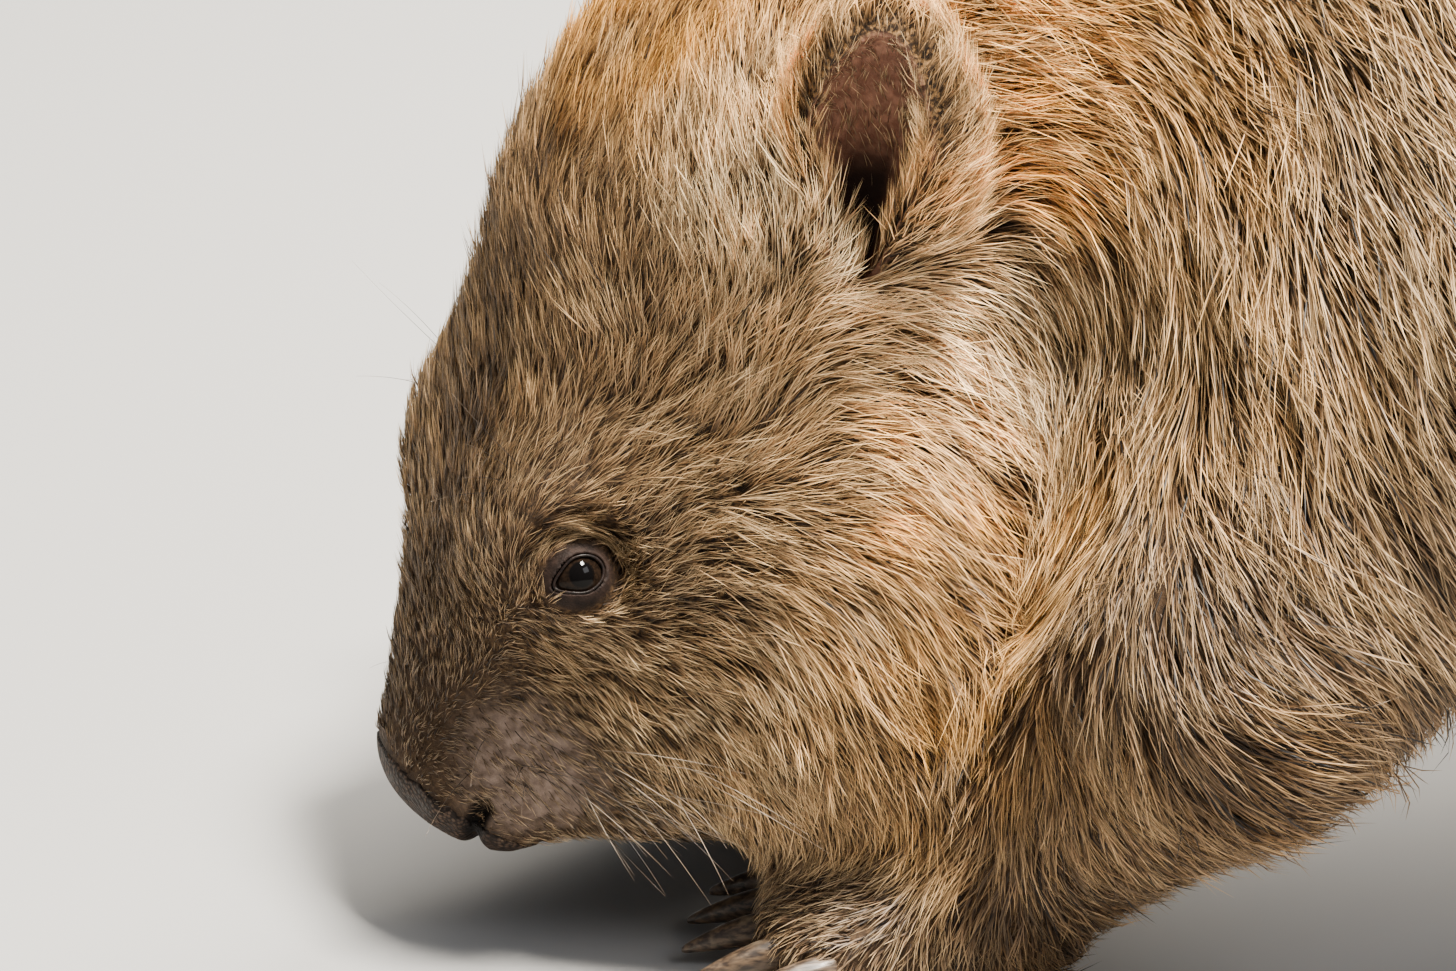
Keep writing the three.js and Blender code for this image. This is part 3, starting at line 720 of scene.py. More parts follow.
def combed(points, normals):
    """The way the hairs lie at each point of the skin."""
    total = np.zeros_like(points)
    for place, normal, way in lie_guides():
        flat = unit(way - normal * (way @ normal))
        distance = np.linalg.norm(points - place, axis=1) / MM
        alike = np.maximum(normals @ normal, 0.04) ** 2
        total += (alike / (distance**4 + 10**4))[:, None] * flat
    for s in SIDES.values():
        across, tip, opening = ear_frame(s)
        x, _, up = ear_measures(points, s)
        worn = smoothstep(1.35, 1.15, ear_distance(points, s)) * smoothstep(-30, -18, up)
        way = tip + np.outer(x / 14, across) + opening * 0.1
        strength = np.linalg.norm(total, axis=1) + 1e-6
        total = total * (1 - worn)[:, None] + unit(way) * worn[:, None] * strength[:, None]
    return tangent_to(total, normals)


def evened(ways, normals, rounds):
    """Ways at the skin's points, each averaged with its neighbours'."""
    a, b = read_from(skin.data.edges, "vertices", 2, int).T
    count = len(ways)
    for _ in range(rounds):
        total = ways.copy()
        for axis in range(3):
            total[:, axis] += np.bincount(a, ways[b, axis], count) + np.bincount(b, ways[a, axis], count)
        ways = tangent_to(total, normals)
    return ways


skin_comb = evened(combed(skin_points, skin_normals), skin_normals, 6)
corners = read_from(skin.data.loops, "vertex_index", 1, int).reshape(-1, 3)
corner_uvs = read_from(skin.data.uv_layers["OFBake"].data, "uv", 2).reshape(-1, 3, 2)
face_normals = unit(skin_normals[corners].mean(axis=1))
face_combs = tangent_to(skin_comb[corners].mean(axis=1), face_normals)


def wavy(points, size, seed):
    """A soft pattern from about -1 to 1, with patches about `size` millimetres across."""
    dice = np.random.default_rng(seed)
    ways = unit(dice.normal(size=(5, 3)))
    phases = dice.uniform(0, 2 * math.pi, 5)
    turns = points @ ways.T / (size * MM) * math.pi + phases
    return np.sin(turns).mean(axis=1) * 1.6


# The coat: tufts of a few hairs each, set over the skin as thickly as the coat is there
HAIRS_IN_TUFT = 5
PATCH = 0.003
PATH_STEPS = 5
ROOT_SUNK, FLOOR_GAP, TIP_GAP = 0.4 * MM, 0.5 * MM, 0.4 * MM
COAT_TRIANGLES = 1_420_000
PIECE_TRIANGLES = 186_000
LONG_HAIR = 24
SHORT_STATIONS = (0, 0.5, 1)
LONG_STATIONS = (0, 0.32, 0.66, 1)
STRAYS, BRIGHT_HAIRS, GUARD_HAIRS = 0.05, 0.3, 0.03
TUFT_SPREAD, HAIR_ROLL = 0.65, 0.75


def triangles_per_hair(length):
    return np.where(length > LONG_HAIR, 2 * len(LONG_STATIONS) - 3, 2 * len(SHORT_STATIONS) - 3)


def tuft_roots(dice):
    a, b, c = (skin_points[corners[:, i]] for i in range(3))
    area = np.linalg.norm(np.cross(b - a, c - a), axis=1) / 2 / MM**2
    coat = full_coat_at((a + b + c) / 3, face_normals)
    hairs = area * coat["crowd"]
    crowding = COAT_TRIANGLES / np.sum(hairs * triangles_per_hair(coat["length"]))
    reach = np.cumsum(hairs * crowding / HAIRS_IN_TUFT)
    count = int(reach[-1])
    spots = (np.arange(count) + dice.uniform(0, 1, count)) * reach[-1] / count
    face = np.minimum(np.searchsorted(reach, spots), len(corners) - 1)
    u, v = dice.uniform(0, 1, count), dice.uniform(0, 1, count)
    outside = u + v > 1
    u[outside], v[outside] = 1 - u[outside], 1 - v[outside]
    share = np.stack([1 - u - v, u, v], axis=1)
    at_corners = (values[corners[face]] for values in (skin_points, skin_normals, skin_comb))
    at_corners = (*at_corners, corner_uvs[face])
    place, normal, comb, uv = (np.einsum("ij,ijk->ik", share, values) for values in at_corners)
    normal = unit(normal)
    return place, normal, tangent_to(comb, normal), uv, crowding


def nearest_faces(points):
    places, faces = np.empty((len(points), 3)), np.empty(len(points), int)
    for i, point in enumerate(points.tolist()):
        place, _, face, _ = SKIN_TREE.find_nearest(point)
        places[i] = place
        faces[i] = face
    return places, faces


def turned(ways, axes, angle):
    """Ways turned about axes at right angles to them."""
    return ways * np.cos(angle)[:, None] + np.cross(axes, ways) * np.sin(angle)[:, None]


def grown_paths(place, normal, comb, length, rise, dice):
    """Each tuft's middle line: it leaves the skin, bends over and lies along it, at most `rise` above it."""
    count = len(place)
    yaw = 0.3 * wavy(place, 14, 3) + 0.22 * wavy(place, 5, 4) + dice.normal(0, 0.12, count)
    heading = unit(turned(comb, normal, yaw) + normal * 0.35)
    path = [place - normal * ROOT_SUNK]
    at = path[0]
    step = (length / PATH_STEPS * MM)[:, None]
    for i in range(PATH_STEPS):
        at = at + heading * step
        near, face = nearest_faces(at)
        up = face_normals[face]
        height = np.sum((at - near) * up, axis=1)
        wanted = rise * MM * ((i + 1) / PATH_STEPS) ** 0.7
        lift = np.where(height < wanted, wanted - height, -np.minimum(height - wanted, 0.25 * step[:, 0]))
        at = at + up * lift[:, None]
        at[:, 2] = np.maximum(at[:, 2], FLOOR_GAP)
        path.append(at)
        lie = turned(face_combs[face], up, yaw + dice.normal(0, 0.1, count))
        heading = unit(unit(at - path[-2]) * 0.55 + lie * 0.45 + np.array((0, 0, -0.05)))
    return np.stack(path, axis=1)


def gathered(paths, length, pull, dice):
    """Tufts drawn together into pointed locks, each towards one tuft near its middle."""
    count = len(paths)
    roots = paths[:, 0]
    lock_size = np.clip(length * 0.2, 1.6, 7)
    chance = HAIRS_IN_TUFT * 0.9 / (lock_size**2 * 0.5)
    leads = np.flatnonzero(dice.uniform(0, 1, count) < np.clip(chance, 0.02, 1))
    tree = KDTree(len(leads))
    for i, lead in enumerate(leads.tolist()):
        tree.insert(roots[lead], i)
    tree.balance()
    leader = leads[[tree.find(root)[1] for root in roots.tolist()]]
    apart = np.linalg.norm(roots - roots[leader], axis=1) / MM
    draw = pull * smoothstep(lock_size * 1.6, lock_size * 0.5, apart)
    t = np.linspace(0, 1, PATH_STEPS + 1) ** 1.4
    drawn = paths + (paths[leader] - paths) * (draw[:, None] * t)[:, :, None]
    return drawn, leader


def at_reach(paths, t):
    spot = np.clip(t, 0, 1) * PATH_STEPS
    low = np.minimum(spot.astype(int), PATH_STEPS - 1)
    part = (spot - low)[:, None]
    rows = np.arange(len(paths))
    return paths[rows, low] * (1 - part) + paths[rows, low + 1] * part


def build_tufts():
    dice = np.random.default_rng(11)
    place, normal, comb, uv, crowding = tuft_roots(dice)
    coat = full_coat_at(place, normal)
    count = len(place)
    length = coat["length"] * dice.uniform(0.78, 1.12, count)
    rise = coat["depth"] * dice.uniform(0.35, 0.95, count)
    stray = dice.uniform(0, 1, count) < STRAYS
    rise = np.where(stray, rise * 1.5 + 0.5, rise)
    paths = grown_paths(place, normal, comb, length, rise, dice)
    pull = np.clip(coat["length"] / 60 - 0.2, 0, 0.42) * (1 - stray)
    paths, leader = gathered(paths, length, pull, dice)
    patchy = 1 + 0.35 * wavy(place, 9, 6) + 0.25 * wavy(place, 28, 7)
    marks = np.stack([np.clip(coat["gold"] * patchy, 0, 1),
                      np.clip(coat["dark"] * (1 - 0.4 * wavy(place, 11, 8)), 0, 1),
                      np.clip(coat["pale"] * patchy + dice.normal(0, 0.07, count), 0, 1),
                      np.ones(count)], axis=1)
    lock_tone = dice.uniform(0, 1, count)[leader]
    return dict(place=place, normal=normal, comb=comb, uv=uv, length=length, width=coat["width"], paths=paths,
                marks=marks, tone=lock_tone, crowd=coat["crowd"] * crowding, dark=coat["dark"])


def coat_piece(name, tufts, stations, dice):
    """A piece of the coat: each hair is a narrow ribbon that tapers to its tip."""
    count = len(tufts["place"])
    comb, normal, length = tufts["comb"], tufts["normal"], tufts["length"]
    side = np.cross(comb, normal)
    lengthened = smoothstep(14, 34, length)
    spacing = np.sqrt(HAIRS_IN_TUFT / np.maximum(tufts["crowd"], 0.05)) * TUFT_SPREAD
    crossing = 0.14 - 0.05 * lengthened
    drawn_in = 0.05 + 0.35 * lengthened[:, None]
    all_points, all_marks, all_hair, all_uvs = [], [], [], []
    for hair in range(HAIRS_IN_TUFT):
        angle, far = dice.uniform(0, 2 * math.pi, count), np.sqrt(dice.uniform(0, 1, count)) * spacing * MM
        offset = comb * (np.cos(angle) * far)[:, None] + side * (np.sin(angle) * far)[:, None]
        reach = dice.uniform(0.6, 1.0, count)
        wander = side * (dice.normal(0, 1, count) * crossing * length * MM)[:, None]
        wander += normal * (dice.normal(0.015, 0.03, count) * length * MM)[:, None]
        roll = dice.normal(0, HAIR_ROLL, count)
        centre = []
        for t in stations:
            middle = at_reach(tufts["paths"], reach * t) + offset * (1 - drawn_in * t) + wander * t**1.5
            middle[:, 2] = np.maximum(middle[:, 2], TIP_GAP)
            centre.append(middle)
        half_width = tufts["width"] * dice.uniform(0.75, 1.2, count) * MM / 2
        bright = dice.uniform(0, 1, count) < BRIGHT_HAIRS
        tone = np.clip(0.3 + (tufts["tone"] - 0.5) * 0.22 + dice.normal(0, 0.16, count) + 0.5 * bright, 0, 1)
        guard = (dice.uniform(0, 1, count) < GUARD_HAIRS + 0.1 * tufts["dark"]).astype(float)
        rows = []
        for i, t in enumerate(stations[:-1]):
            ahead = unit(centre[i + 1] - centre[i])
            flat = unit(np.cross(ahead, normal))
            up = np.cross(flat, ahead)
            edge = (flat * np.cos(roll)[:, None] + up * np.sin(roll)[:, None]) * half_width[:, None]
            rows += [centre[i] - edge * (1 - 0.3 * t), centre[i] + edge * (1 - 0.3 * t)]
        rows.append(centre[-1])
        all_points.append(np.stack(rows, axis=1))
        along = np.repeat(stations, 2)[:-1]
        values = np.broadcast_arrays(along, guard[:, None], tone[:, None], 1.0)
        all_hair.append(np.stack(values, axis=2))
        all_marks.append(np.repeat(tufts["marks"][:, None], len(rows), axis=1))
        edge_side = np.array([0, 1] * (len(stations) - 1) + [0.5])
        across_patch = (hair + 0.1 + 0.8 * edge_side) / HAIRS_IN_TUFT
        patch = np.stack([across_patch - 0.5, along - 0.5], axis=1) * PATCH
        all_uvs.append(np.clip(tufts["uv"], 0.002, 0.998)[:, None, :] + patch[None])
    points, uvs = np.stack(all_points, axis=1), np.stack(all_uvs, axis=1)
    colors = {"marks": np.stack(all_marks, axis=1), "hair": np.stack(all_hair, axis=1)}
    return ribbons(name, points.reshape(-1, 3), stations, colors, uvs.reshape(-1, 2))


def ribbons(name, points, stations, colors, uvs):
    """Triangles over hairs that have two points at each station and one at the tip."""
    last = 2 * (len(stations) - 2)
    pattern = []
    for low in range(0, last, 2):
        pattern += [(low, low + 1, low + 3), (low, low + 3, low + 2)]
    pattern.append((last, last + 1, last + 2))
    starts = np.arange(0, len(points), last + 3)
    index = (starts[:, None, None] + np.array(pattern)[None]).reshape(-1, 3)
    mesh = bpy.data.meshes.new(name)
    mesh.vertices.add(len(points))
    mesh.vertices.foreach_set("co", points.astype(np.float32).ravel())
    mesh.loops.add(index.size)
    mesh.loops.foreach_set("vertex_index", index.ravel())
    mesh.polygons.add(len(index))
    mesh.polygons.foreach_set("loop_start", np.arange(0, index.size, 3))
    mesh.update(calc_edges=True)
    set_smooth(mesh)
    for attribute, values in colors.items():
        layer = mesh.attributes.new(attribute, "FLOAT_COLOR", "POINT")
        layer.data.foreach_set("color", values.astype(np.float32).ravel())
    mesh.uv_layers.new(name="OFBake").data.foreach_set("uv", uvs[index.ravel()].astype(np.float32).ravel())
    return added(name, mesh)


def zone_of(tufts):
    """The name of the stretch of coat that each tuft belongs to."""
    place = tufts["place"]
    behind = behind_nose(place)
    _, back, _ = head_measures(place)
    on_the_head = 0.94 * (behind - 100) + 0.34 * (place[:, 2] / MM - 150) < 0
    zone = np.select([on_the_head & (back < 75), on_the_head & (back < 130), on_the_head,
                      behind < 200, behind < 330, behind < 560],
                     ["face", "cheek", "crown", "neck", "shoulder", "flank"], "rump")
    side = np.where(place[:, 0] > 0, "left", "right")
    length = np.where(tufts["length"] > LONG_HAIR, "long", "short")
    return np.char.add(np.char.add(np.char.add(zone, "_"), np.char.add(side, "_")), length)


def build_coat():
    tufts = build_tufts()
    zones = zone_of(tufts)
    pieces = []
    for zone in np.unique(zones):
        own = np.flatnonzero(zones == zone)
        stations = np.array(LONG_STATIONS if zone.endswith("long") else SHORT_STATIONS)
        triangles = len(own) * HAIRS_IN_TUFT * (2 * len(stations) - 3)
        parts = math.ceil(triangles / PIECE_TRIANGLES)
        own = own[np.argsort(tufts["place"][own, 2], kind="stable")]
        for i, rows in enumerate(np.array_split(own, parts)):
            part = {field: values[rows] for field, values in tufts.items()}
            dice = np.random.default_rng(100 + len(pieces))
            pieces.append(coat_piece(f"coat_{zone}_{i + 1}", part, stations, dice))
    return pieces


# Materials
def srgb(*seen):
    """A colour as seen on a screen, from 0 to 255, as Blender's linear one."""
    seen = np.array(seen) / 255
    return tuple(np.where(seen < 0.0404, seen / 12.92, ((seen + 0.055) / 1.055) ** 2.4)) + (1,)


def fed(socket, value):
    if isinstance(value, bpy.types.NodeSocket):
        socket.id_data.links.new(value, socket)
    else:
        socket.default_value = value


def mixed(tree, factor, a, b):
    mix = tree.nodes.new("ShaderNodeMix")
    mix.data_type = "RGBA"
    fed(mix.inputs[0], factor)
    fed(mix.inputs[6], a)
    fed(mix.inputs[7], b)
    return mix.outputs[2]


def worked(tree, operation, *values):
    maths = tree.nodes.new("ShaderNodeMath")
    maths.operation = operation
    for socket, value in zip(maths.inputs, values):
        fed(socket, value)
    return maths.outputs[0]


def ranged(tree, value, low, high, start=0.0, end=1.0):
    spread = tree.nodes.new("ShaderNodeMapRange")
    spread.interpolation_type = "SMOOTHSTEP"
    for socket, wanted in zip(spread.inputs, (value, low, high, start, end)):
        fed(socket, wanted)
    return spread.outputs[0]


def mottled(tree, pattern, low, high, first, second):
    """Two colours, the second where a pattern rises from `low` to `high`."""
    return mixed(tree, ranged(tree, pattern, low, high), first, second)


def noise(tree, scale, detail=3.0, stretch=(1, 1, 1)):
    place = tree.nodes.new("ShaderNodeTexCoord")
    spread = tree.nodes.new("ShaderNodeMapping")
    cloud = tree.nodes.new("ShaderNodeTexNoise")
    fed(spread.inputs["Scale"], stretch)
    fed(spread.inputs["Vector"], place.outputs["Object"])
    fed(cloud.inputs["Scale"], scale)
    fed(cloud.inputs["Detail"], detail)
    fed(cloud.inputs["Vector"], spread.outputs[0])
    return cloud.outputs["Fac"]


def separated(tree, color):
    parts = tree.nodes.new("ShaderNodeSeparateColor")
    fed(parts.inputs[0], color)
    return parts.outputs


def attribute(tree, name):
    """A colour kept on the mesh, and its three parts."""
    layer = tree.nodes.new("ShaderNodeAttribute")
    layer.attribute_name = name
    color = layer.outputs["Color"]
    return color, separated(tree, color)


def bumped(tree, height, strength, distance):
    bump = tree.nodes.new("ShaderNodeBump")
    fed(bump.inputs["Strength"], strength)
    fed(bump.inputs["Distance"], distance * MM)
    fed(bump.inputs["Height"], height)
    return bump.outputs["Normal"]


def material(name, roughness, specular):
    made = bpy.data.materials.new(name)
    made.use_nodes = True
    shader = made.node_tree.nodes["Principled BSDF"]
    shader.inputs["Roughness"].default_value = roughness
    shader.inputs["Specular IOR Level"].default_value = specular
    return made, made.node_tree, shader


STRAW_TIP, GOLD_TIP, GREY_TIP = srgb(248, 226, 182), srgb(246, 180, 84), srgb(200, 175, 136)
MID_BROWN, MID_STRAW, MID_GOLD = srgb(124, 98, 72), srgb(184, 154, 114), srgb(170, 118, 60)
# NOSTRIL is painted shade, the dark inside the nostril slits
ROOT, DARK_HAIR, GUARD_HAIR, NOSTRIL = srgb(40, 31, 24), srgb(84, 66, 50), srgb(22, 17, 14), srgb(12, 9, 8)


def coat_markings():
    """The colour of a hair from the marks of its place, how far along it is, its tone and whether it is a
    guard hair."""
    group = bpy.data.node_groups.new("coat markings", "ShaderNodeTree")
    group.interface.new_socket("Marks", in_out="INPUT", socket_type="NodeSocketColor")
    for name in ("Along", "Tone", "Guard"):
        group.interface.new_socket(name, in_out="INPUT", socket_type="NodeSocketFloat")
    group.interface.new_socket("Color", in_out="OUTPUT", socket_type="NodeSocketColor")
    given = group.nodes.new("NodeGroupInput").outputs
    gold, dark, pale = separated(group, given["Marks"])
    tip = mixed(group, gold, mixed(group, pale, GREY_TIP, STRAW_TIP), GOLD_TIP)
    middle = mixed(group, gold, mixed(group, pale, MID_BROWN, MID_STRAW), MID_GOLD)
    hair = mottled(group, given["Along"], 0.1, 0.6, ROOT, middle)
    hair = mottled(group, given["Along"], 0.4, 0.95, hair, tip)
    hair = mixed(group, worked(group, "MULTIPLY", dark, 0.75), hair, DARK_HAIR)
    hair = mixed(group, given["Guard"], hair, GUARD_HAIR)
    # Painted light: the palest places are brightened up to 1.6 times, standing in for sunlight on them
    painted_light_on_pale = ranged(group, pale, 0.65, 0.95, 1.0, 1.6)
    scale = worked(group, "MULTIPLY", ranged(group, given["Tone"], 0.0, 1.0, 0.45, 1.6), painted_light_on_pale)
    bright = group.nodes.new("ShaderNodeVectorMath")
    bright.operation = "SCALE"
    fed(bright.inputs[0], hair)
    fed(bright.inputs["Scale"], scale)
    fed(group.nodes.new("NodeGroupOutput").inputs["Color"], bright.outputs[0])
    return group


MARKINGS = coat_markings()


def marked(tree, marks, along, tone, guard):
    group = tree.nodes.new("ShaderNodeGroup")
    group.node_tree = MARKINGS
    for name, value in (("Marks", marks), ("Along", along), ("Tone", tone), ("Guard", guard)):
        fed(group.inputs[name], value)
    return group.outputs["Color"]


def hair_material():
    made, tree, shader = material("coat_hair", 0.5, 0.25)
    marks, _ = attribute(tree, "marks")
    _, hair = attribute(tree, "hair")
    fed(shader.inputs["Base Color"], marked(tree, marks, hair[0], hair[2], hair[1]))
    return made


def skin_material():
    made, tree, shader = material("skin_under_coat", 0.6, 0.1)
    marks, _ = attribute(tree, "marks")
    _, (bare, inside, slit) = attribute(tree, "skin")
    _, (thin, nostrils, _) = attribute(tree, "muzzle")
    cloud = noise(tree, 420)
    coat = marked(tree, marks, ranged(tree, noise(tree, 900), 0.3, 0.7, 0.05, 0.4), 0.3, 0.0)
    muzzle = mottled(tree, cloud, 0.3, 0.75, srgb(92, 77, 67), srgb(132, 114, 103))
    pink = mottled(tree, cloud, 0.35, 0.7, srgb(108, 74, 60), srgb(142, 103, 84))
    naked = mottled(tree, cloud, 0.35, 0.7, srgb(24, 17, 14), srgb(42, 31, 26))
    color = mixed(tree, thin, coat, muzzle)
    # Painted shade: the slit in each ear's hollow gets a near-black brown
    color = mixed(tree, inside, color, mixed(tree, slit, pink, srgb(34, 23, 19)))
    color = mixed(tree, bare, color, naked)
    # Painted shade inside the nostrils
    fed(shader.inputs["Base Color"], mixed(tree, nostrils, color, NOSTRIL))
    fed(shader.inputs["Roughness"], worked(tree, "SUBTRACT", 0.75, worked(tree, "MULTIPLY", bare, 0.15)))
    fed(shader.inputs["Normal"], bumped(tree, noise(tree, 2600, 4), 0.6, 0.35))
    return made


def nose_material():
    made, tree, shader = material("nose_skin", 0.6, 0.15)
    cells = tree.nodes.new("ShaderNodeTexVoronoi")
    fed(cells.inputs["Scale"], 1050)
    fed(cells.inputs["Vector"], tree.nodes.new("ShaderNodeTexCoord").outputs["Object"])
    grain = cells.outputs["Distance"]
    cloud = noise(tree, 260)
    color = mottled(tree, cloud, 0.35, 0.7, srgb(56, 44, 36), srgb(82, 66, 55))
    color = mottled(tree, grain, 0.25, 0.6, color, srgb(30, 23, 19))
    _, (_, nostrils, _) = attribute(tree, "muzzle")
    # Painted shade inside the nostrils
    fed(shader.inputs["Base Color"], mixed(tree, nostrils, color, NOSTRIL))
    fed(shader.inputs["Roughness"], ranged(tree, cloud, 0.3, 0.7, 0.55, 0.75))
    fed(shader.inputs["Normal"], bumped(tree, worked(tree, "SUBTRACT", 1.0, grain), 0.8, 0.4))
    return made


def eye_material():
    """The pupil, the iris, its dark edge and the white, from the middle of the eye outwards."""
    made, tree, shader = material("wet_eye", 0.05, 0.1)
    _, (reach, _, _) = attribute(tree, "iris")
    color = mottled(tree, noise(tree, 1500, 2), 0.35, 0.65, srgb(15, 10, 7), srgb(27, 19, 13))
    color = mottled(tree, reach, 0.30, 0.36, srgb(6, 5, 5), color)
    color = mottled(tree, reach, 0.60, 0.70, color, srgb(9, 7, 7))
    color = mottled(tree, reach, 0.80, 0.95, color, srgb(26, 18, 16))
    fed(shader.inputs["Base Color"], color)
    return made


def wet_rim_material():
    made, tree, shader = material("wet_lid_rim", 0.35, 0.12)
    color = mottled(tree, noise(tree, 900), 0.35, 0.7, srgb(14, 10, 9), srgb(30, 22, 19))
    fed(shader.inputs["Base Color"], color)
    fed(shader.inputs["Normal"], bumped(tree, noise(tree, 2400), 0.4, 0.2))
    return made


def claw_material():
    made, tree, shader = material("claw_horn", 0.38, 0.5)
    streaks = noise(tree, 300, 3, (4, 0.5, 4))
    cloud = noise(tree, 160)
    color = mottled(tree, streaks, 0.35, 0.7, srgb(44, 34, 27), srgb(96, 78, 60))
    fed(shader.inputs["Base Color"], mottled(tree, cloud, 0.55, 0.75, color, srgb(120, 104, 84)))
    fed(shader.inputs["Roughness"], ranged(tree, cloud, 0.3, 0.7, 0.3, 0.55))
    fed(shader.inputs["Normal"], bumped(tree, streaks, 0.5, 0.3))
    return made


def whisker_material():
    made, tree, shader = material("whisker", 0.35, 0.5)
    _, (along, dark, _) = attribute(tree, "hair")
    color = mixed(tree, dark, srgb(190, 172, 150), srgb(20, 16, 14))
    fed(shader.inputs["Base Color"], mottled(tree, along, 0.5, 1.0, color, srgb(110, 92, 74)))
    return made


def with_attribute(piece, name, columns):
    values = np.zeros((len(piece.data.vertices), 4), np.float32)
    values[:, 3] = 1
    for i, column in enumerate(columns):
        values[:, i] = column
    layer = piece.data.attributes.new(name, "FLOAT_COLOR", "POINT")
    layer.data.foreach_set("color", values.ravel())


coat = full_coat_at(skin_points, skin_normals)
with_attribute(skin, "marks", (coat["gold"], coat["dark"], coat["pale"]))
with_attribute(skin, "skin", (coat["bare"], coat["inside"], coat["slit"]))
with_attribute(skin, "muzzle", (coat["thin"], in_nostrils(skin_points)))
skin.data.materials.clear()
skin.data.materials.append(skin_material())
skin.data.polygons.foreach_set("material_index", np.zeros(len(skin.data.polygons), int))

coat_look = hair_material()
coat_pieces = build_coat()
for piece in coat_pieces:
    piece.data.materials.append(coat_look)


def build_nose_pad():
    """The bare nose pad, a skin of its own over the front of the muzzle."""
    pad = added("nose_pad", skin.data.copy())
    pad.data.materials.clear()
    side, back, up = head_measures(skin_points)
    away = (back + 0.05 * np.abs(side) > 9.2) | (up < -17) | (behind_nose(skin_points) > 30)
    mesh = bmesh.new()
    mesh.from_mesh(pad.data)
    mesh.verts.ensure_lookup_table()
    bmesh.ops.delete(mesh, geom=[mesh.verts[i] for i in np.flatnonzero(away)], context="VERTS")
    mesh.normal_update()
    for vertex in mesh.verts:
        vertex.co += vertex.normal * (-0.7 if vertex.is_boundary else 0.4) * MM
    mesh.to_mesh(pad.data)
    mesh.free()
    finished_with(pad, "SOLIDIFY", thickness=1.4 * MM, offset=-1)
    return pad


def build_eye(side, s):
    eye = made_primitive(f"eyeball_{side}", bpy.ops.mesh.primitive_uv_sphere_add, segments=64, ring_count=40,
                         radius=EYE_RADIUS * MM)
    points = points_of(eye)
    axis = np.array(eye_axis(s))
    turn = Vector((0, 0, 1)).rotation_difference(eye_axis(s)).to_matrix()
    points = points @ np.array(turn).T
    reach = np.linalg.norm(points - np.outer(points @ axis, axis), axis=1) / (EYE_RADIUS * MM)
    front = points @ axis > 0
    bulge = np.where(front, smoothstep(0.72, 0.0, reach), 0) * 0.7 * MM
    set_points(eye, points + np.outer(bulge, axis) + np.array(eye_middle(s)))
    with_attribute(eye, "iris", (np.where(front, reach, 1),))
    set_smooth(eye.data)
    return eye


def tubes(name, paths, widths, sides, marks, closed=False):
    """Round tubes along paths of equally many points, as wide as `widths` and as dark as `marks` says."""
    points, faces, along, dark = [], [], [], []
    for path, mark in zip(paths, marks):
        path = np.array(path)
        ahead = np.roll(path, -1, axis=0) - np.roll(path, 1, axis=0)
        if not closed:
            ahead[0], ahead[-1] = path[1] - path[0], path[-1] - path[-2]
        ahead = unit(ahead)
        first = unit(np.cross(ahead, np.array((0.31, 0.17, 0.93))))
        second = np.cross(ahead, first)
        start = len(points)
        for i, spot in enumerate(path):
            for k in range(sides):
                angle = 2 * math.pi * k / sides
                out = first[i] * math.cos(angle) + second[i] * math.sin(angle)
                points.append(spot + out * widths[i] / 2 * MM)
                along.append(i / (len(path) - 1))
                dark.append(mark)
        for i in range(len(path) if closed else len(path) - 1):
            a, b = start + i * sides, start + (i + 1) % len(path) * sides
            for k in range(sides):
                n = (k + 1) % sides
                faces.append((a + k, a + n, b + n, b + k))
        if not closed:
            faces.append(tuple(range(start + sides - 1, start - 1, -1)))
            end = start + (len(path) - 1) * sides
            faces.append(tuple(range(end, end + sides)))
    mesh = bpy.data.meshes.new(name)
    mesh.from_pydata([tuple(p) for p in points], [], faces)
    piece = added(name, mesh)
    with_attribute(piece, "hair", (along, dark))
    set_smooth(mesh)
    return piece


RIM_STEPS, RIM_WIDTH, RIM_SPREAD, RIM_SUNK = 64, 0.6, 1.03, 0.45


def lid_rim(side, s):
    """The moist edge of the lids, a ring around their opening."""
    along, across, axis = eye_frame(s)
    ring = []
    for turn in np.linspace(0, 2 * math.pi, RIM_STEPS, endpoint=False):
        half_length, _ = lid_opening_at(math.cos(turn))
        x = half_length * RIM_SPREAD * math.cos(turn)
        _, half_height = lid_opening_at(x)
        y = half_height * RIM_SPREAD * math.sin(turn)
        height = math.sqrt(LID_RADIUS**2 - x * x - y * y) - RIM_SUNK
        ring.append(np.array(eye_middle(s)) + (along * x + across * y + axis * height) * MM)
    return tubes(f"lid_rim_{side}", [ring], [RIM_WIDTH] * RIM_STEPS, 10, [1], closed=True)


# Whiskers: where each bunch grows, the way it points, how long and how many, and whether they are dark
WHISKERS = {
    "muzzle_dark": (on_head(36, 30, -2), head_way(0.6, 0.5, -0.85), 36, 24, 1),
    "muzzle_pale": (on_head(38, 30, -10), head_way(0.5, 0.6, -0.9), 42, 9, 0),
    "muzzle_front": (on_head(30, 22, 6), head_way(1.0, 0.1, 0.1), 30, 6, 1),
    "cheek_pale": (on_head(44, 42, -16), head_way(0.5, 0.8, -0.6), 44, 6, 0),
    "brow": (on_head(38, 76, 33), head_way(0.4, 0.3, 0.9), 26, 4, 1),
}
WHISKER_STEPS, WHISKER_WIDTH = 9, 0.17


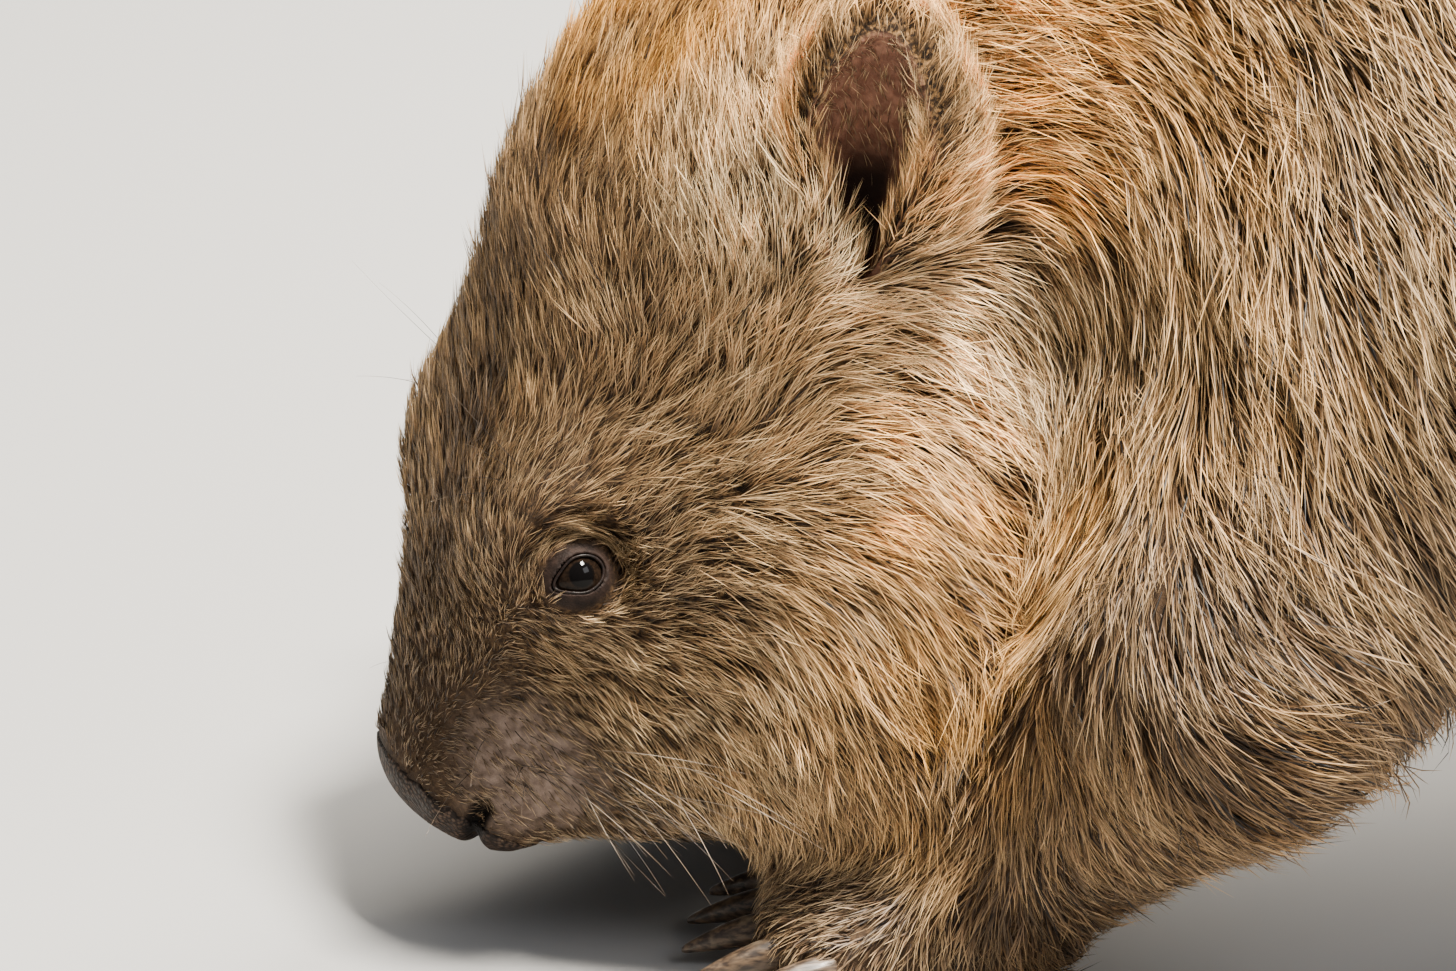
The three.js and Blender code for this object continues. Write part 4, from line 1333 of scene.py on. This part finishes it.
def build_whiskers():
    dice = np.random.default_rng(23)
    paths, dark = [], []
    for place, way, length, count, darkness in WHISKERS.values():
        for s in SIDES.values():
            mirror = np.array((s, 1, 1))
            for _ in range(count):
                near = np.array(place) * mirror + dice.normal(0, 5 * MM, 3)
                root, normal, _, _ = SKIN_TREE.find_nearest(near.tolist())
                heading = unit(unit(np.array(way) * mirror) + dice.normal(0, 0.3, 3) + np.array(normal) * 0.5)
                at = np.array(root) - np.array(normal) * 0.5 * MM
                bend = unit(np.array((0, 0.35, -0.6)) + dice.normal(0, 0.25, 3)) * 0.045
                reach = length * dice.uniform(0.55, 1.1)
                path = [at]
                for _ in range(WHISKER_STEPS - 1):
                    heading = unit(heading + bend)
                    at = at + heading * reach / (WHISKER_STEPS - 1) * MM
                    at[2] = max(at[2], 1 * MM)
                    path.append(at)
                paths.append(path)
                dark.append(darkness)
    widths = WHISKER_WIDTH * (1 - 0.75 * np.linspace(0, 1, WHISKER_STEPS))
    return tubes("whiskers", paths, widths, 4, dark)


def build_claws(name, side, nodes):
    claws = copy_of_nodes(f"{name}_{side}", nodes)
    finished_with(claws, "SUBSURF", levels=2, render_levels=2)
    set_smooth(claws.data)
    return claws


nose_pad = build_nose_pad()
nose_pad.data.materials.append(nose_material())
eye_look, rim_look, claw_look = eye_material(), wet_rim_material(), claw_material()
whiskers = build_whiskers()
whiskers.data.materials.append(whisker_material())
small_pieces = []
for side, s in SIDES.items():
    eye = build_eye(side, s)
    eye.data.materials.append(eye_look)
    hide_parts("eye_" + side)
    rim = lid_rim(side, s)
    rim.data.materials.append(rim_look)
    small_pieces += [eye, rim]
    for name, count in (("fore_claw", 5), ("hind_claw", 4)):
        nodes = [f"{name}_{side}_{i + 1}" for i in range(count)]
        claws = build_claws(name + "s", side, nodes)
        claws.data.materials.append(claw_look)
        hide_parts(*nodes)
        small_pieces.append(claws)

# Camera, lights and floor
camera = added("camera", bpy.data.cameras.new("camera"))
camera.data.lens = LENS
camera.data.sensor_width = SENSOR
camera.location = CAMERA_PLACE
camera.rotation_euler = VIEW_BACK.to_track_quat("Z", "Y").to_euler()
camera.data.clip_start, camera.data.clip_end = 0.05, 50
bpy.context.scene.camera = camera


LIT_PLACE = AIM + Vector((0, 0.1, 0))
WARM, COOL = (1, 0.94, 0.84), (0.97, 0.98, 1)


def soft_light(name, back, up, right, size, power, tint):
    lamp = bpy.data.lights.new(name, "AREA")
    lamp.shape = "SQUARE"
    lamp.size = size
    lamp.energy = power
    lamp.color = tint
    light = added(name, lamp)
    light.location = AIM + VIEW_BACK * back + VIEW_UP * up + VIEW_RIGHT * right
    light.rotation_euler = (light.location - LIT_PLACE).to_track_quat("Z", "Y").to_euler()


soft_light("key", 0.95, 1.5, 0.45, 0.35, 235, WARM)
soft_light("fill", 1.5, 1.0, 1.2, 0.9, 24, COOL)
soft_light("rim", -0.9, 1.2, 0.8, 0.7, 100, WARM)

world = bpy.data.worlds.new("studio")
world.use_nodes = True
background = world.node_tree.nodes["Background"].inputs
background["Color"].default_value = (0.8, 0.82, 0.85, 1)
background["Strength"].default_value = 0.34
bpy.context.scene.world = world

floor = made_primitive("floor", bpy.ops.mesh.primitive_plane_add, size=8)
pale, _, floor_shader = material("pale_floor", 0.9, 0.5)
floor_shader.inputs["Base Color"].default_value = (0.3, 0.296, 0.29, 1)
floor.data.materials.append(pale)

clear_selection()
for piece in [skin, nose_pad, whiskers, *small_pieces, *coat_pieces]:
    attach(piece, "root")
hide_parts(*[node for node in FLESH if node != "nose"], "ear_left", "ear_right")
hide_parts("nose")
